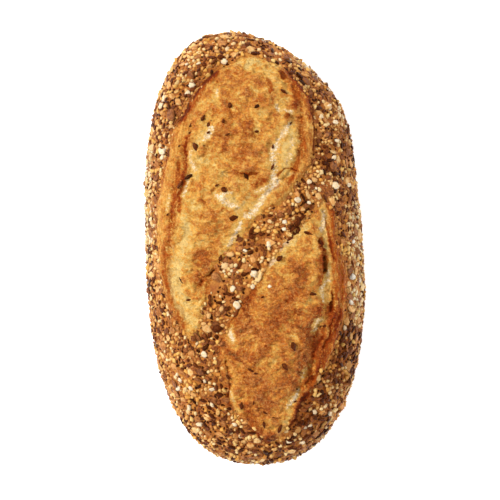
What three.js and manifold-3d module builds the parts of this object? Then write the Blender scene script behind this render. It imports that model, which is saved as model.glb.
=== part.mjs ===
import * as THREE from 'three';
import { mergeVertices } from 'three/addons/utils/BufferGeometryUtils.js';
import Module from 'manifold-3d';

// A seven-grain sourdough loaf, in millimetres: a domed oval loaf baked on a flat oven floor, its
// crust covered in grains, slashed twice on the slant so that it burst open there in the oven.
// It lies along y and stands on z = 0, its right side towards +x. The origin is at the middle of
// its bounding box, on the ground.

// Size of the loaf
const HALF_LENGTH = 123.5;
const HALF_WIDTH = 62;
const CROWN_HEIGHT = 77;
const WAIST_HEIGHT = 31;

// Outline from above: two half ovals that meet at the middle of the length, y = 0
const FAR_ROUNDNESS = 2.2;
const NEAR_ROUNDNESS = 2.42;
const TAPER = 0.04;
const BEND = 1.5;
const LEAN = 9.9;
const SHOULDER = { swell: 11.2, at: 84, spread: 38 };

// Sections: rounder than an ellipse across and along. Below the waist the loaf tucks in, and the
// oven floor cuts off a bulge that would else reach TUCK waist heights down. What bursting did to
// the skin fades in over the first BURST_BLEND above the waist.
const ACROSS_ROUNDNESS = 2.3;
const ALONG_ROUNDNESS = 2.4;
const TUCK = 1.7;
const BURST_BLEND = 10;

// Torn edges of the two slashes, seen from above, each a closed curve through its turning points
const UPPER_EDGE = [
  [-3, 107], [-21, 98], [-38, 76], [-48, 50], [-54, 18], [-53.5, -19], [-44, -42], [-36, -53],
  [-28, -30], [-23, -11], [-5, 7.5], [13, 23], [30, 41], [36, 57], [35, 78], [28, 92], [14, 103.5],
];
const LOWER_EDGE = [
  [41, 24.5], [45, 5], [50, -12], [50.5, -30], [45, -50], [35, -70], [25, -84], [18, -98],
  [5, -110.5], [-10, -96], [-17, -81], [-19.5, -62], [-18.5, -48], [-11, -33], [-2, -21],
  [13, -2.5], [26, 12],
];
const EDGE_POINTS = 160;

// How the crust stands along a torn edge, by the distance inside it: a rolled lip, a groove
// behind the lip and then the dough that rose through the opening
const LIP = { rise: 2.6, at: 4, outer: 7, inner: 3.4 };
const GROOVE = { depth: 2.8, at: 9.5, spread: 2.8 };
const BLOOM = { rise: 2.6, full: 24 };

// Places where the risen dough tore once more, as open curves seen from above
const TEARS = [
  [[-25, 32], [-17, 24], [-7, 19], [3, 26], [9, 40], [11, 60], [20, 80]],
  [[-31, 76], [-37, 52], [-40, 30]],
  [[38, 8], [37, -12], [37, -40], [29, -72]],
  [[-16, -55], [-11, -80]],
];
const TEAR_POINTS = 24;
const TEAR = { depth: 1.6, spread: 2.6 };

// Lumps of the risen dough: waves across each other, [mm per wave along x, along y, height]
const LUMPS = [
  [27, 38, 0.7],
  [-16, 21, 0.45],
  [11, -13, 0.3],
];

// Facets: columns over the dome, down each side below the waist and under the loaf, then rows
const DOME_COLUMNS = 42;
const SIDE_COLUMNS = 3;
const FLOOR_COLUMNS = 8;
const COLUMNS = DOME_COLUMNS + 2 * SIDE_COLUMNS + FLOOR_COLUMNS;
const ROWS = 62;
const EVEN_ROWS = 0.62;
const STEEPEST_TUCK = 1.2;

// A facet's corner this near a lip or a groove moves onto it, where the dome isn't steep
const SETTLE = 2;
const SETTLE_FROM_HEIGHT = 52;
const SLOPE_STEP = 0.1;
const TINY = 1e-6;

// The largest grains, as [length, width, thickness]
const OAT_FLAKE = [5.6, 4.4, 1.7];
const FLAX_SEED = [4.8, 2.5, 1.5];
const CRACKED_RYE = [4.2, 3, 2.2];
const MILLET = [2.8, 2.7, 2.5];
const CRUST_GRAINS = [OAT_FLAKE, FLAX_SEED, CRACKED_RYE, MILLET];

// How the grains are spread: how many there are, how much of each shows above the skin, how far
// they keep from a torn edge and from the oven floor, and how few of them lie on the risen dough
const GRAIN_COUNT = 152;
const GRAIN_SIDES = 6;
const CRUST_GRAIN_SHOWS = 0.66;
const DOUGH_GRAIN_SHOWS = 0.4;
const EDGE_MARGIN = 3;
const DOUGH_MARGIN = 13;
const DOUGH_SHARE = 0.16;
const LOWEST_GRAIN = 7;
const LOWEST_TURN = 0.5;
const END_MARGIN = 0.985;

// Steps that never fall into line: the plastic number and its square spread points evenly over a
// square, and the golden ratio and the root of two spread single values
const PLASTIC_NUMBER = 1.3247179572447458;
const GOLDEN_RATIO = (1 + Math.sqrt(5)) / 2;

const CRUST_COLOUR = 0xb5793f;
const CRUST_ROUGHNESS = 0.75;

function superellipse(share, roundness) {
  return Math.max(0, 1 - Math.abs(share) ** roundness) ** (1 / roundness);
}

function signedPower(value, exponent) {
  return Math.sign(value) * Math.abs(value) ** exponent;
}

function bell(value) {
  return Math.exp(-(value ** 2));
}

// The loaf's section at a station from -1, its near tip, to 1, its far tip
function station(along) {
  const width = superellipse(along, along > 0 ? FAR_ROUNDNESS : NEAR_ROUNDNESS);
  const left = HALF_WIDTH * width * (1 - TAPER * along);
  const swell = bell((along * HALF_LENGTH - SHOULDER.at) / SHOULDER.spread);
  const height = superellipse(along, ALONG_ROUNDNESS);
  return {
    middle: -BEND * along ** 2 - LEAN * Math.max(0, along) ** 1.5,
    left,
    right: left + SHOULDER.swell * swell * Math.sqrt(width),
    crown: (CROWN_HEIGHT - WAIST_HEIGHT) * height,
    bulge: TUCK * WAIST_HEIGHT * height,
  };
}

// A point of the loaf before it burst: `turn` goes round the section from the left side at 0,
// over the top, to the right side at half a turn and back below
function plainPoint(along, turn) {
  const { middle, left, right, crown, bulge } = station(along);
  const across = -signedPower(Math.cos(turn), 2 / ACROSS_ROUNDNESS);
  const up = signedPower(Math.sin(turn), 2 / ACROSS_ROUNDNESS);
  const x = middle + across * (across < 0 ? left : right);
  const z = WAIST_HEIGHT + up * (up > 0 ? crown : bulge);
  return new THREE.Vector3(x, along * HALF_LENGTH, Math.max(0, z));
}

// Height of the dome over a point of the ground
function domeHeight(x, y) {
  const { middle, left, right, crown } = station(y / HALF_LENGTH);
  const across = (x - middle) / (x < middle ? left : right);
  return WAIST_HEIGHT + crown * superellipse(Math.min(1, Math.abs(across)), ACROSS_ROUNDNESS);
}

// The way out of the loaf at a point of its skin
function outward(point) {
  const { middle, left, right, crown, bulge } = station(point.y / HALF_LENGTH);
  const width = point.x < middle ? left : right;
  const height = point.z > WAIST_HEIGHT ? crown : bulge;
  return new THREE.Vector3(
    (point.x - middle) / Math.max(1, width) ** 2,
    point.y / HALF_LENGTH ** 2,
    (point.z - WAIST_HEIGHT) / Math.max(1, height) ** 2,
  ).normalize();
}

function curveThrough(points, closed, count) {
  const stops = points.map(([x, y]) => new THREE.Vector3(x, y, 0));
  return new THREE.CatmullRomCurve3(stops, closed, 'catmullrom', 0.5).getPoints(count);
}

const edges = [UPPER_EDGE, LOWER_EDGE].map((points) => curveThrough(points, true, EDGE_POINTS));
const tears = TEARS.map((points) => curveThrough(points, false, TEAR_POINTS));

function distanceToCurve(curve, x, y) {
  let nearest = Infinity;
  for (let i = 1; i < curve.length; i++) {
    const a = curve[i - 1];
    const b = curve[i];
    const dx = b.x - a.x;
    const dy = b.y - a.y;
    const share = ((x - a.x) * dx + (y - a.y) * dy) / (dx * dx + dy * dy);
    const t = THREE.MathUtils.clamp(share, 0, 1);
    nearest = Math.min(nearest, Math.hypot(x - a.x - t * dx, y - a.y - t * dy));
  }
  return nearest;
}

// Distance from a torn edge, positive inside it
function inside(edge, x, y) {
  let crossings = 0;
  for (let i = 1; i < edge.length; i++) {
    const a = edge[i - 1];
    const b = edge[i];
    const spans = a.y > y !== b.y > y;
    if (spans && x < a.x + ((y - a.y) / (b.y - a.y)) * (b.x - a.x)) crossings += 1;
  }
  const distance = distanceToCurve(edge, x, y);
  return crossings % 2 === 1 ? distance : -distance;
}

// How far the lip, the groove and the risen dough stand out of the plain dome
function burst(depth) {
  const side = depth < LIP.at ? LIP.outer : LIP.inner;
  const lip = LIP.rise * bell((depth - LIP.at) / side);
  const groove = GROOVE.depth * bell((depth - GROOVE.at) / GROOVE.spread);
  const bloom = BLOOM.rise * THREE.MathUtils.smoothstep(depth, GROOVE.at, BLOOM.full);
  return lip - groove + bloom;
}

// Lumps and tears, which only the risen dough behind the groove has
function roughness(depth, x, y) {
  const behind = THREE.MathUtils.smoothstep(depth, GROOVE.at, GROOVE.at + GROOVE.spread);
  let height = 0;
  for (const [acrossWave, alongWave, lump] of LUMPS) {
    height += lump * Math.sin((2 * Math.PI * x) / acrossWave + (2 * Math.PI * y) / alongWave);
  }
  for (const tear of tears) {
    height -= TEAR.depth * bell(distanceToCurve(tear, x, y) / TEAR.spread);
  }
  return behind * height;
}

// How far a point of the skin stands out of the plain loaf
function standOut({ x, y, z }) {
  const fade = THREE.MathUtils.smoothstep(z, WAIST_HEIGHT, WAIST_HEIGHT + BURST_BLEND);
  if (fade === 0) return 0;
  let height = 0;
  for (const edge of edges) {
    const depth = inside(edge, x, y);
    height += burst(depth) + roughness(depth, x, y);
  }
  return fade * height;
}

// Moves a point that lies near the top of a lip or the bottom of a groove onto it
function settle(point) {
  for (const edge of edges) {
    const depth = inside(edge, point.x, point.y);
    const line = [LIP.at, GROOVE.at].find((at) => Math.abs(depth - at) < SETTLE);
    if (line !== undefined) {
      const slopeX = (inside(edge, point.x + SLOPE_STEP, point.y) - depth) / SLOPE_STEP;
      const slopeY = (inside(edge, point.x, point.y + SLOPE_STEP) - depth) / SLOPE_STEP;
      point.x += (line - depth) * slopeX;
      point.y += (line - depth) * slopeY;
      point.z = domeHeight(point.x, point.y);
    }
  }
}

// A point of the burst loaf; only the corners of its facets settle
function skinPoint(along, turn, isCorner) {
  const point = plainPoint(along, turn);
  if (isCorner && point.z > SETTLE_FROM_HEIGHT) settle(point);
  return point.addScaledVector(outward(point), standOut(point));
}

// Turn of a column: even over the dome, then even to the edge of the flat underside
function turnOfColumn(column, along) {
  const sine = Math.min(1, WAIST_HEIGHT / Math.max(station(along).bulge, TINY));
  const tuck = Math.min(STEEPEST_TUCK, Math.asin(sine ** (ACROSS_ROUNDNESS / 2)));
  const stops = [
    [0, 0],
    [DOME_COLUMNS, Math.PI],
    [DOME_COLUMNS + SIDE_COLUMNS, Math.PI + tuck],
    [DOME_COLUMNS + SIDE_COLUMNS + FLOOR_COLUMNS, 2 * Math.PI - tuck],
    [COLUMNS, 2 * Math.PI],
  ];
  const next = Math.max(1, stops.findIndex(([at]) => column <= at + TINY));
  const [from, fromTurn] = stops[next - 1];
  const [to, toTurn] = stops[next];
  return fromTurn + ((toTurn - fromTurn) * (column - from)) / (to - from);
}

// The rows crowd a little towards the tips, where the loaf curves most
function alongOfRow(share) {
  return EVEN_ROWS * share + (1 - EVEN_ROWS) * Math.sin((share * Math.PI) / 2);
}

// Each square of facets is cut along the diagonal whose ends stand out more alike, so that lips
// and grooves that run slantwise stay smooth. Only the two rows of facets at the tips have no
// squares.
function cutAlongFolds(geometry) {
  const position = geometry.getAttribute('position');
  const index = geometry.getIndex();
  const heightOf = (corner) => standOut(new THREE.Vector3().fromBufferAttribute(position, corner));
  const fold = (a, b) => Math.abs(heightOf(a) - heightOf(b));
  const tipFacets = 3 * COLUMNS;
  for (let i = tipFacets; i < index.count - tipFacets; i += 6) {
    const [a, b, d, c] = [0, 1, 2, 4].map((step) => index.getX(i + step));
    if (fold(a, c) < fold(b, d)) index.set([a, b, c, a, c, d], i);
  }
}

// The whole loaf without its grains: a sphere with its poles at the tips, drawn out to the skin
function loafGeometry() {
  const geometry = new THREE.SphereGeometry(1, COLUMNS, ROWS);
  const position = geometry.getAttribute('position');
  const uv = geometry.getAttribute('uv');
  for (let i = 0; i < position.count; i++) {
    const along = alongOfRow(2 * uv.getY(i) - 1);
    const isTip = Math.abs(along) > 1 - TINY;
    const column = isTip ? 0 : uv.getX(i) * COLUMNS;
    const point = skinPoint(along, turnOfColumn(column, along), true);
    position.setXYZ(i, point.x, point.y, point.z);
  }
  cutAlongFolds(geometry);
  return geometry;
}

// Where grain number `i` may lie, evenly spread over the sides and the dome, the way that it
// points, and a share of 0 to 1 that decides whether it is used
function grainPlace(i) {
  const a = (i / PLASTIC_NUMBER) % 1;
  const b = (i / PLASTIC_NUMBER ** 2) % 1;
  return {
    along: END_MARGIN * (2 * a - 1),
    turn: -LOWEST_TURN + (Math.PI + 2 * LOWEST_TURN) * b,
    heading: 2 * Math.PI * ((i * Math.SQRT2) % 1),
    share: (i / GOLDEN_RATIO) % 1,
  };
}

// Grains cover the crust above the oven floor, fewer round the narrow ends
function isOnCrust(point, place) {
  const clear = edges.every((edge) => inside(edge, point.x, point.y) < -EDGE_MARGIN);
  const girth = superellipse(place.along, NEAR_ROUNDNESS);
  return clear && point.z > LOWEST_GRAIN && place.share < girth;
}

// A few flax seeds from inside the dough show on what rose through the openings
function isOnDough(point, place) {
  const within = edges.some((edge) => inside(edge, point.x, point.y) > DOUGH_MARGIN);
  return within && point.z > WAIST_HEIGHT && place.share < DOUGH_SHARE;
}

// A rough grain, a flat double cone of twelve faces, that lies on the skin and points its own way
function grainGeometry([length, width, thickness], shows, heading, point) {
  const geometry = new THREE.SphereGeometry(0.5, GRAIN_SIDES, 2);
  geometry.rotateX(Math.PI / 2);
  geometry.scale(length, width, thickness);
  geometry.rotateZ(heading);
  geometry.translate(0, 0, (shows - 0.5) * thickness);
  const out = outward(point);
  const stand = new THREE.Quaternion().setFromUnitVectors(new THREE.Vector3(0, 0, 1), out);
  geometry.applyQuaternion(stand);
  geometry.translate(point.x, point.y, point.z);
  return geometry;
}

function grainGeometries() {
  const grains = [];
  for (let i = 1; grains.length < GRAIN_COUNT; i++) {
    const place = grainPlace(i);
    const point = skinPoint(place.along, place.turn, false);
    if (isOnCrust(point, place)) {
      const size = CRUST_GRAINS[grains.length % CRUST_GRAINS.length];
      grains.push(grainGeometry(size, CRUST_GRAIN_SHOWS, place.heading, point));
    } else if (isOnDough(point, place)) {
      grains.push(grainGeometry(FLAX_SEED, DOUGH_GRAIN_SHOWS, place.heading, point));
    }
  }
  return grains;
}

const wasm = await Module();
wasm.setup();

function toSolid(geometry) {
  geometry.deleteAttribute('normal');
  geometry.deleteAttribute('uv');
  const merged = mergeVertices(geometry);
  return new wasm.Manifold(
    new wasm.Mesh({
      numProp: 3,
      vertProperties: merged.getAttribute('position').array,
      triVerts: new Uint32Array(merged.index.array),
    }),
  );
}

function toGeometry(solid) {
  const mesh = solid.getMesh();
  const geometry = new THREE.BufferGeometry();
  geometry.setAttribute('position', new THREE.BufferAttribute(mesh.vertProperties, 3));
  geometry.setIndex(new THREE.BufferAttribute(mesh.triVerts, 1));
  geometry.computeVertexNormals();
  return geometry;
}

// The loaf and its largest grains, fused into one solid
function loaf() {
  let solid = toSolid(loafGeometry());
  for (const grain of grainGeometries()) {
    solid = solid.add(toSolid(grain));
  }
  const material = new THREE.MeshStandardMaterial({
    color: CRUST_COLOUR,
    roughness: CRUST_ROUGHNESS,
    metalness: 0,
  });
  const mesh = new THREE.Mesh(toGeometry(solid), material);
  mesh.name = 'seven_grain_loaf';
  return mesh;
}

const sourdough = new THREE.Group();
sourdough.add(loaf());

export default sourdough;
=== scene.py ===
import math

import bmesh
import bpy
import numpy as np
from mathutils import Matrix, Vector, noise


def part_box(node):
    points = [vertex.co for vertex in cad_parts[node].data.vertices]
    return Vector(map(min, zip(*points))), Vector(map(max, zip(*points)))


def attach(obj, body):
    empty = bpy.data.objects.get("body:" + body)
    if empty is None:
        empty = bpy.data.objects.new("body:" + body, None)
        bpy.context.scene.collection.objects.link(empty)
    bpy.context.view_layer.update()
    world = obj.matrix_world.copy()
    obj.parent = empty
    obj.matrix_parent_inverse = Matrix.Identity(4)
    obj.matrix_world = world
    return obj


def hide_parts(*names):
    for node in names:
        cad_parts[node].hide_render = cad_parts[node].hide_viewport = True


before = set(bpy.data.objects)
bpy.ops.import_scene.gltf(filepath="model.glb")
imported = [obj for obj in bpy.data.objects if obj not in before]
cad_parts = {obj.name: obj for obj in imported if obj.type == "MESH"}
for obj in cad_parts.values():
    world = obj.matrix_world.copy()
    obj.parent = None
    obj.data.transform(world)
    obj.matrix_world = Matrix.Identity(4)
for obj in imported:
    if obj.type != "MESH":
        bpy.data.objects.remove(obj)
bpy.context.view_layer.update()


# Camera
# It hangs straight over the loaf, a little more than a metre up, with a long lens, as for a
# catalogue picture of bread. The frame is square and the loaf leans a little to the left in it.
CAMERA_HEIGHT = 1.150
CAMERA_PLACE = (-0.0026, -0.0012)
CAMERA_TURN = math.radians(-2.5)
SENSOR_WIDTH = 36
FRAME_WIDTH = 0.2875
FRAMED_HEIGHT = 0.031

camera_data = bpy.data.cameras.new("camera")
camera_data.sensor_width = SENSOR_WIDTH
camera_data.lens = SENSOR_WIDTH * (CAMERA_HEIGHT - FRAMED_HEIGHT) / FRAME_WIDTH
camera = bpy.data.objects.new("camera", camera_data)
camera.location = (*CAMERA_PLACE, CAMERA_HEIGHT)
camera.rotation_euler = (0, 0, CAMERA_TURN)
bpy.context.scene.collection.objects.link(camera)
bpy.context.scene.camera = camera


# Loaf
# One skin of sourdough round the whole loaf: the crust that the grains are stuck to, and the risen
# dough that baked bare where two slanting slashes burst open, with rolled lips on some sides of
# them. Its sizes are in millimetres, and its length is that of the solid loaf it stands for.
MM = 0.001
loaf_low, loaf_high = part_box("seven_grain_loaf")
HALF_LENGTH = (loaf_high.y - loaf_low.y) / 2 / MM
HALF_WIDTH = 62
CROWN_HEIGHT = 77
WAIST_HEIGHT = 31

FAR_ROUNDNESS = 2.2
NEAR_ROUNDNESS = 2.42
ACROSS_ROUNDNESS = 2.3
ALONG_ROUNDNESS = 2.4
TAPER = 0.04
BEND = 1.5
LEAN = 9.9
SHOULDER_SWELL = 11.2
SHOULDER_AT = 84
SHOULDER_SPREAD = 38
TUCK = 1.7
STEEPEST_TUCK = 1.2
BURST_BLEND = 10

# Torn edges of the two slashes, seen from above
UPPER_EDGE = [
    (-3, 107), (-19, 99), (-31, 86.5), (-38.5, 74), (-44, 64), (-48, 50), (-52, 34), (-55, 17),
    (-54.5, 0), (-53.5, -18), (-49, -33), (-42, -44), (-36, -53), (-30, -35), (-23, -12),
    (-13, -1), (-3, 9.5), (5, 18), (16, 24.8), (30.8, 40), (36.4, 53), (36.5, 70), (34, 84),
    (27, 94), (15, 104.5),
]
LOWER_EDGE = [
    (41.5, 26), (46, 14), (47.5, 0), (50.5, -14), (50.5, -29), (47, -46), (41, -61), (33, -74),
    (25, -86), (18.5, -98), (11, -107), (3, -111), (-7, -101), (-17, -89), (-20.5, -76),
    (-22, -62), (-20, -50), (-12, -36), (-2, -21.5), (13, -3), (26, 11), (35, 19.5),
]
EDGE_POINTS = 190
BLOOM_RISE = 2.8
BLOOM_FULL = 20
CREASE_DEPTH = 1.0
CREASE_AT = 0.7
CREASE_SPREAD = 1.3
CRUST_SINKS = 0.7
TEAR_DEPTH = 0.35
LUMPS_FROM = (4, 14)
LIPS_REACH = 1.5
FLOOR_BLEND = 6

# Strokes over the loaf seen from above: its relief, in LIPS and FOLDS, and the shades of its bake.
# Each has its strength, in millimetres for relief, and a line of places with its half width there.
# Among the shades, the scorched and dull strokes are also painted shade in holes, grooves and creases by
# the lips.
LIPS = [
    (1.6, [(-15, 100, 2), (-24, 90, 3), (-33, 77, 4), (-41, 61, 5), (-46, 46, 5.6), (-48.5, 31, 5.6),
           (-51, 15, 4.6), (-51.5, 0, 3.8), (-51.8, -14, 3.2), (-49, -29, 2.9), (-43, -41, 2.3),
           (-38, -49, 1.6)]),
    (1.7, [(20, 99, 2.2), (28, 89, 3.4), (31.5, 78, 4.6), (32.2, 62, 4.8), (31, 50, 4), (25.5, 39.5, 3.2),
           (15.5, 29, 3), (8, 22.5, 2.6), (3, 17.5, 1.6)]),
    (1.5, [(44, 22, 1.8), (44, 12, 2), (44, 2, 2.4), (44.6, -12, 2.7), (44.4, -26, 2.7),
           (41.5, -42, 2.6), (36.6, -55, 2.4), (31, -68, 2.2), (25, -80, 2)]),
    (1.7, [(47, -2, 1.8), (48.6, -15, 2.4), (48.2, -29, 2.4), (45.4, -43, 2.5), (41, -55, 2.4),
           (35.5, -66, 2.2), (29, -77, 2)]),
    (1.0, [(-19.5, -53, 1.8), (-20.6, -66, 2.3), (-19, -80, 2.4), (-14.5, -90, 2.4), (-6, -99, 3),
           (1, -106, 2.6)]),
]
FOLDS = [
    (-1.0, [(-31, 72, 1.6), (-35, 62, 2), (-37, 50, 2.2), (-40, 38, 2.4), (-43.5, 28, 2),
            (-45.5, 17, 2)]),
    (-1.5, [(-46.5, 5, 1.7), (-47.6, -10, 2.2), (-47.4, -22, 2.4), (-43, -33, 2.4), (-38.5, -44, 1.8)]),
    (-0.9, [(25, 88, 1.8), (28, 78, 2), (28, 66, 1.8), (27.4, 54, 2), (23, 43, 1.8), (17, 37, 1.5)]),
    (-1.3, [(-37, 10, 4), (-41, -6, 5), (-43, -18, 5), (-42, -28, 5), (-38, -40, 3)]),
    (-1.7, [(40.5, 19, 1.8), (39, 8, 3), (38.5, -8, 3), (38.5, -24, 3.2), (37, -36, 2.6),
            (32, -46, 3), (30, -58, 2.6), (25, -70, 2.6), (20, -81, 2)]),
    (-3.4, [(38.4, -6.5, 0.8), (37.8, -9.6, 1.8), (37.8, -14.4, 1.4)]),
    (-1.4, [(36.6, 2, 1), (38.4, -3, 0.7)]),
    (-2.2, [(41.4, -27, 0.8), (41.4, -33, 1.2), (40.2, -37, 1)]),
    (-1.5, [(41, -41, 0.9), (38.8, -49, 1.1), (35.4, -57, 1)]),
    (-2.2, [(28, -73, 1.6), (25, -77, 1.6)]),
    (-1.5, [(-18.4, -62, 1), (-17.6, -72, 1.3), (-18, -82, 1.1)]),
    (-0.7, [(-7, 41, 0.9), (-2, 39.8, 1), (3, 40.6, 0.8)]),
    (-1.2, [(-19, -9.5, 0.8), (-25, -13.5, 1), (-31, -18.5, 1.1)]),
    (1.3, [(-33.5, 4, 2), (-37, -8, 2), (-35, -18, 2), (-32, -28, 2), (-33, -40, 1.6)]),
    (0.8, [(17, 38.4, 1.6), (20.5, 39.6, 1.8), (24.5, 38.4, 1.4)]),
    (1.0, [(17, 71, 1.2), (20.5, 72.5, 1.3)]),
    (0.8, [(8, 84, 1.4), (9.5, 72, 1.4), (8.5, 58, 1.4), (9, 47, 1.3)]),
]
PALE = [
    (0.9, [(-19.3, 29.5, 1.3), (-16, 27.5, 2.4), (-12.5, 24, 1.9), (-8, 22.4, 1.2)]),
    (0.75, [(-16, 29.8, 1.2), (-11, 29.4, 1.2)]),
    (0.95, [(-4.5, 17.4, 1.4), (-0.5, 18.6, 1.9), (2.6, 22.8, 1.7), (5.5, 27, 1.9), (9, 30.4, 1.8)]),
    (1.0, [(9.4, 31.6, 2.2), (12.8, 34.4, 3), (13, 39, 2)]),
    (0.7, [(12.4, 42, 1.8), (12.2, 48, 2.2), (12.8, 53.4, 2), (15, 58.4, 1.8)]),
    (1.0, [(16.6, 60.6, 1.5), (20.5, 65, 2), (23, 68.6, 1.3)]),
    (0.6, [(2, 30.5, 1.4), (8, 33.5, 1.6)]),
    (0.85, [(15.4, 77.5, 1.6), (16.8, 74.8, 1.3)]),
    (0.8, [(19.2, 75.5, 1.3), (23, 74.4, 0.9)]),
    (0.62, [(21.6, 58, 2), (21.6, 52, 2), (19, 46, 2)]),
    (0.95, [(-20.6, 66.5, 1.6), (-22.2, 63, 2), (-24.2, 60, 1.2)]),
    (0.85, [(-31.6, 49, 1.5), (-30.6, 44.6, 2.3)]),
    (0.6, [(-31, 54, 1.2), (-32, 41, 1.4)]),
    (0.7, [(-34, 40, 1.7), (-36, 34.5, 1.5), (-36.4, 30, 0.9)]),
    (0.75, [(-17.4, 88.4, 1.2), (-17, 84.6, 1.4)]),
    (0.5, [(-45.4, 31, 1), (-46.6, 22.5, 0.9)]),
    (0.8, [(-7.6, 14.4, 1.2), (-10.4, 8.4, 1.7), (-14, 1.4, 1.3)]),
    (0.95, [(40, 18, 1.6), (39.6, 13, 1.7), (38.2, 8.6, 2.2)]),
    (0.9, [(19.6, 3.8, 1.4), (15, -1.4, 1.6)]),
    (1.0, [(10.6, -8, 1.5), (8.2, -10.2, 1.4)]),
    (0.7, [(40.3, -14, 1.1), (40, -20, 1.2), (37, -23, 1.4), (36.3, -31, 1.4)]),
    (0.7, [(34.6, -41, 1.6), (31.6, -43.6, 2), (30.8, -47.4, 1.2)]),
    (0.5, [(26.6, -67, 1.2), (24.4, -70, 1.8), (22, -74.6, 1.6)]),
    (0.95, [(20.4, -81, 1.2), (18, -84.4, 1.9), (13.8, -90, 1.1)]),
    (0.95, [(-14.6, -45.5, 1.6), (-14.4, -50, 1.6)]),
    (0.6, [(-16.8, -79, 0.8), (-15, -85, 0.9)]),
]
GILDED = [
    (1.2, [(-36, 16, 3), (-38, 5, 5), (-41.5, -6, 5.4), (-43, -16, 6), (-42, -26, 6), (-39, -35, 5),
           (-37.5, -44, 3.2)]),
    (0.6, [(-34, 32, 3.4), (-33, 22, 4.4), (-35, 12, 4)]),
    (0.8, [(-26, 66, 3), (-28, 56, 3.4), (-28, 45, 3)]),
    (0.6, [(-24, 87, 2.4), (-27, 80, 2.6)]),
    (1.5, [(22, 61, 3.4), (20, 52, 4.4), (17.5, 44, 3.4)]),
    (0.7, [(33, 67, 1.6), (33.2, 61, 1.9)]),
    (0.8, [(17.4, 38.4, 1.6), (22, 39.4, 1.6)]),
    (0.6, [(25, -68.6, 1.8), (22, -75, 2)]),
    (0.7, [(14, 98, 4), (16, 90, 3.6), (15.6, 82, 3)]),
    (0.9, [(-3, 104, 3), (8, 103.5, 3.6), (19, 101, 2.2)]),
    (0.6, [(6, 72, 3), (3, 64, 3)]),
    (0.7, [(17, 70, 2.6), (15, 64.5, 2.4)]),
    (1.1, [(-12, 26.5, 3.4), (-3, 25, 3.8), (1, 21, 3)]),
    (0.6, [(33, 14, 2.4), (26, 8.5, 2.8)]),
    (1.1, [(24, 7, 2.8), (19, 1.5, 2.8), (12, -6, 2.4)]),
    (0.7, [(14.6, -93, 2.6), (11.6, -99, 2.6)]),
    (0.5, [(-15.4, -45, 1.8), (-15.4, -53, 2)]),
    (0.7, [(39.8, 12, 2), (40.2, -8, 1.6), (39.5, -20, 1.8)]),
    (0.5, [(30, -29, 3), (24, -31, 3)]),
    (0.7, [(-8, 18, 3), (-13, 8, 3), (-18, -3, 3)]),
    (0.6, [(8, -54, 4), (5, -61, 4)]),
]
BROWNED = [
    (0.5, [(-1, 68, 4), (-2, 61, 4.4), (-6, 52, 3), (-4, 42, 3.4)]),
    (0.3, [(0, 74, 8), (-1, 58, 9), (-1, 44, 8)]),
    (0.5, [(25, 93, 2.6), (25.4, 84, 3), (24, 76, 2.4)]),
    (1.0, [(33, -50, 2), (31, -57, 2.2)]),
    (0.5, [(-15, 57, 4), (-10, 88, 5), (4, 92, 4)]),
    (0.9, [(-29, -3, 3), (-27, -8, 2.6), (-31, -15, 2), (-31.5, -20, 1.8)]),
    (0.5, [(-24, 27, 3), (-22, 17, 3)]),
    (0.6, [(22, -11, 4), (24, -17, 4)]),
    (0.6, [(9, -37, 3), (6, -42, 3), (12, -47, 3)]),
    (1.5, [(30, -36, 3.4), (27.4, -47, 5), (26, -56, 5.4), (23, -65, 4.4), (18, -76, 3)]),
    (1.4, [(24, -84, 3), (21, -92, 3.4), (17, -102, 3.4)]),
    (0.88, [(24, -14, 6), (14, -36, 11), (2, -50, 9), (-6, -62, 8), (-3, -76, 9), (3, -90, 7)]),
    (0.9, [(20, -8, 2.4), (26, -16, 2.6), (22, -24, 2.4)]),
    (1.1, [(-1, -23, 2), (-6, -31, 3), (-4, -40, 3.6), (-9, -45, 4), (4, -41, 3)]),
    (0.7, [(14, -60, 4), (13, -72, 4), (11, -82, 4)]),
    (0.9, [(24, -38, 3), (19, -44, 2.6)]),
    (1.3, [(-18, -50, 2.4), (-17, -56, 3), (-12, -61, 3)]),
    (1.1, [(16, -83, 2.6), (19, -79, 2.4)]),
    (1.3, [(-5, -91, 3.4), (-7, -98, 4), (-1, -105, 4), (5, -107, 3)]),
    (0.6, [(4, -92, 4), (8, -98, 3)]),
    (0.6, [(-9, -44.5, 1.8), (-8.4, -46, 1.8)]),
    (0.6, [(-6, -74.5, 2), (-5.6, -76, 2)]),
    (1.0, [(-21.6, -58, 2), (-20.8, -70, 2.2), (-19.5, -80, 2.2), (-17, -89, 2)]),
]
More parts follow.
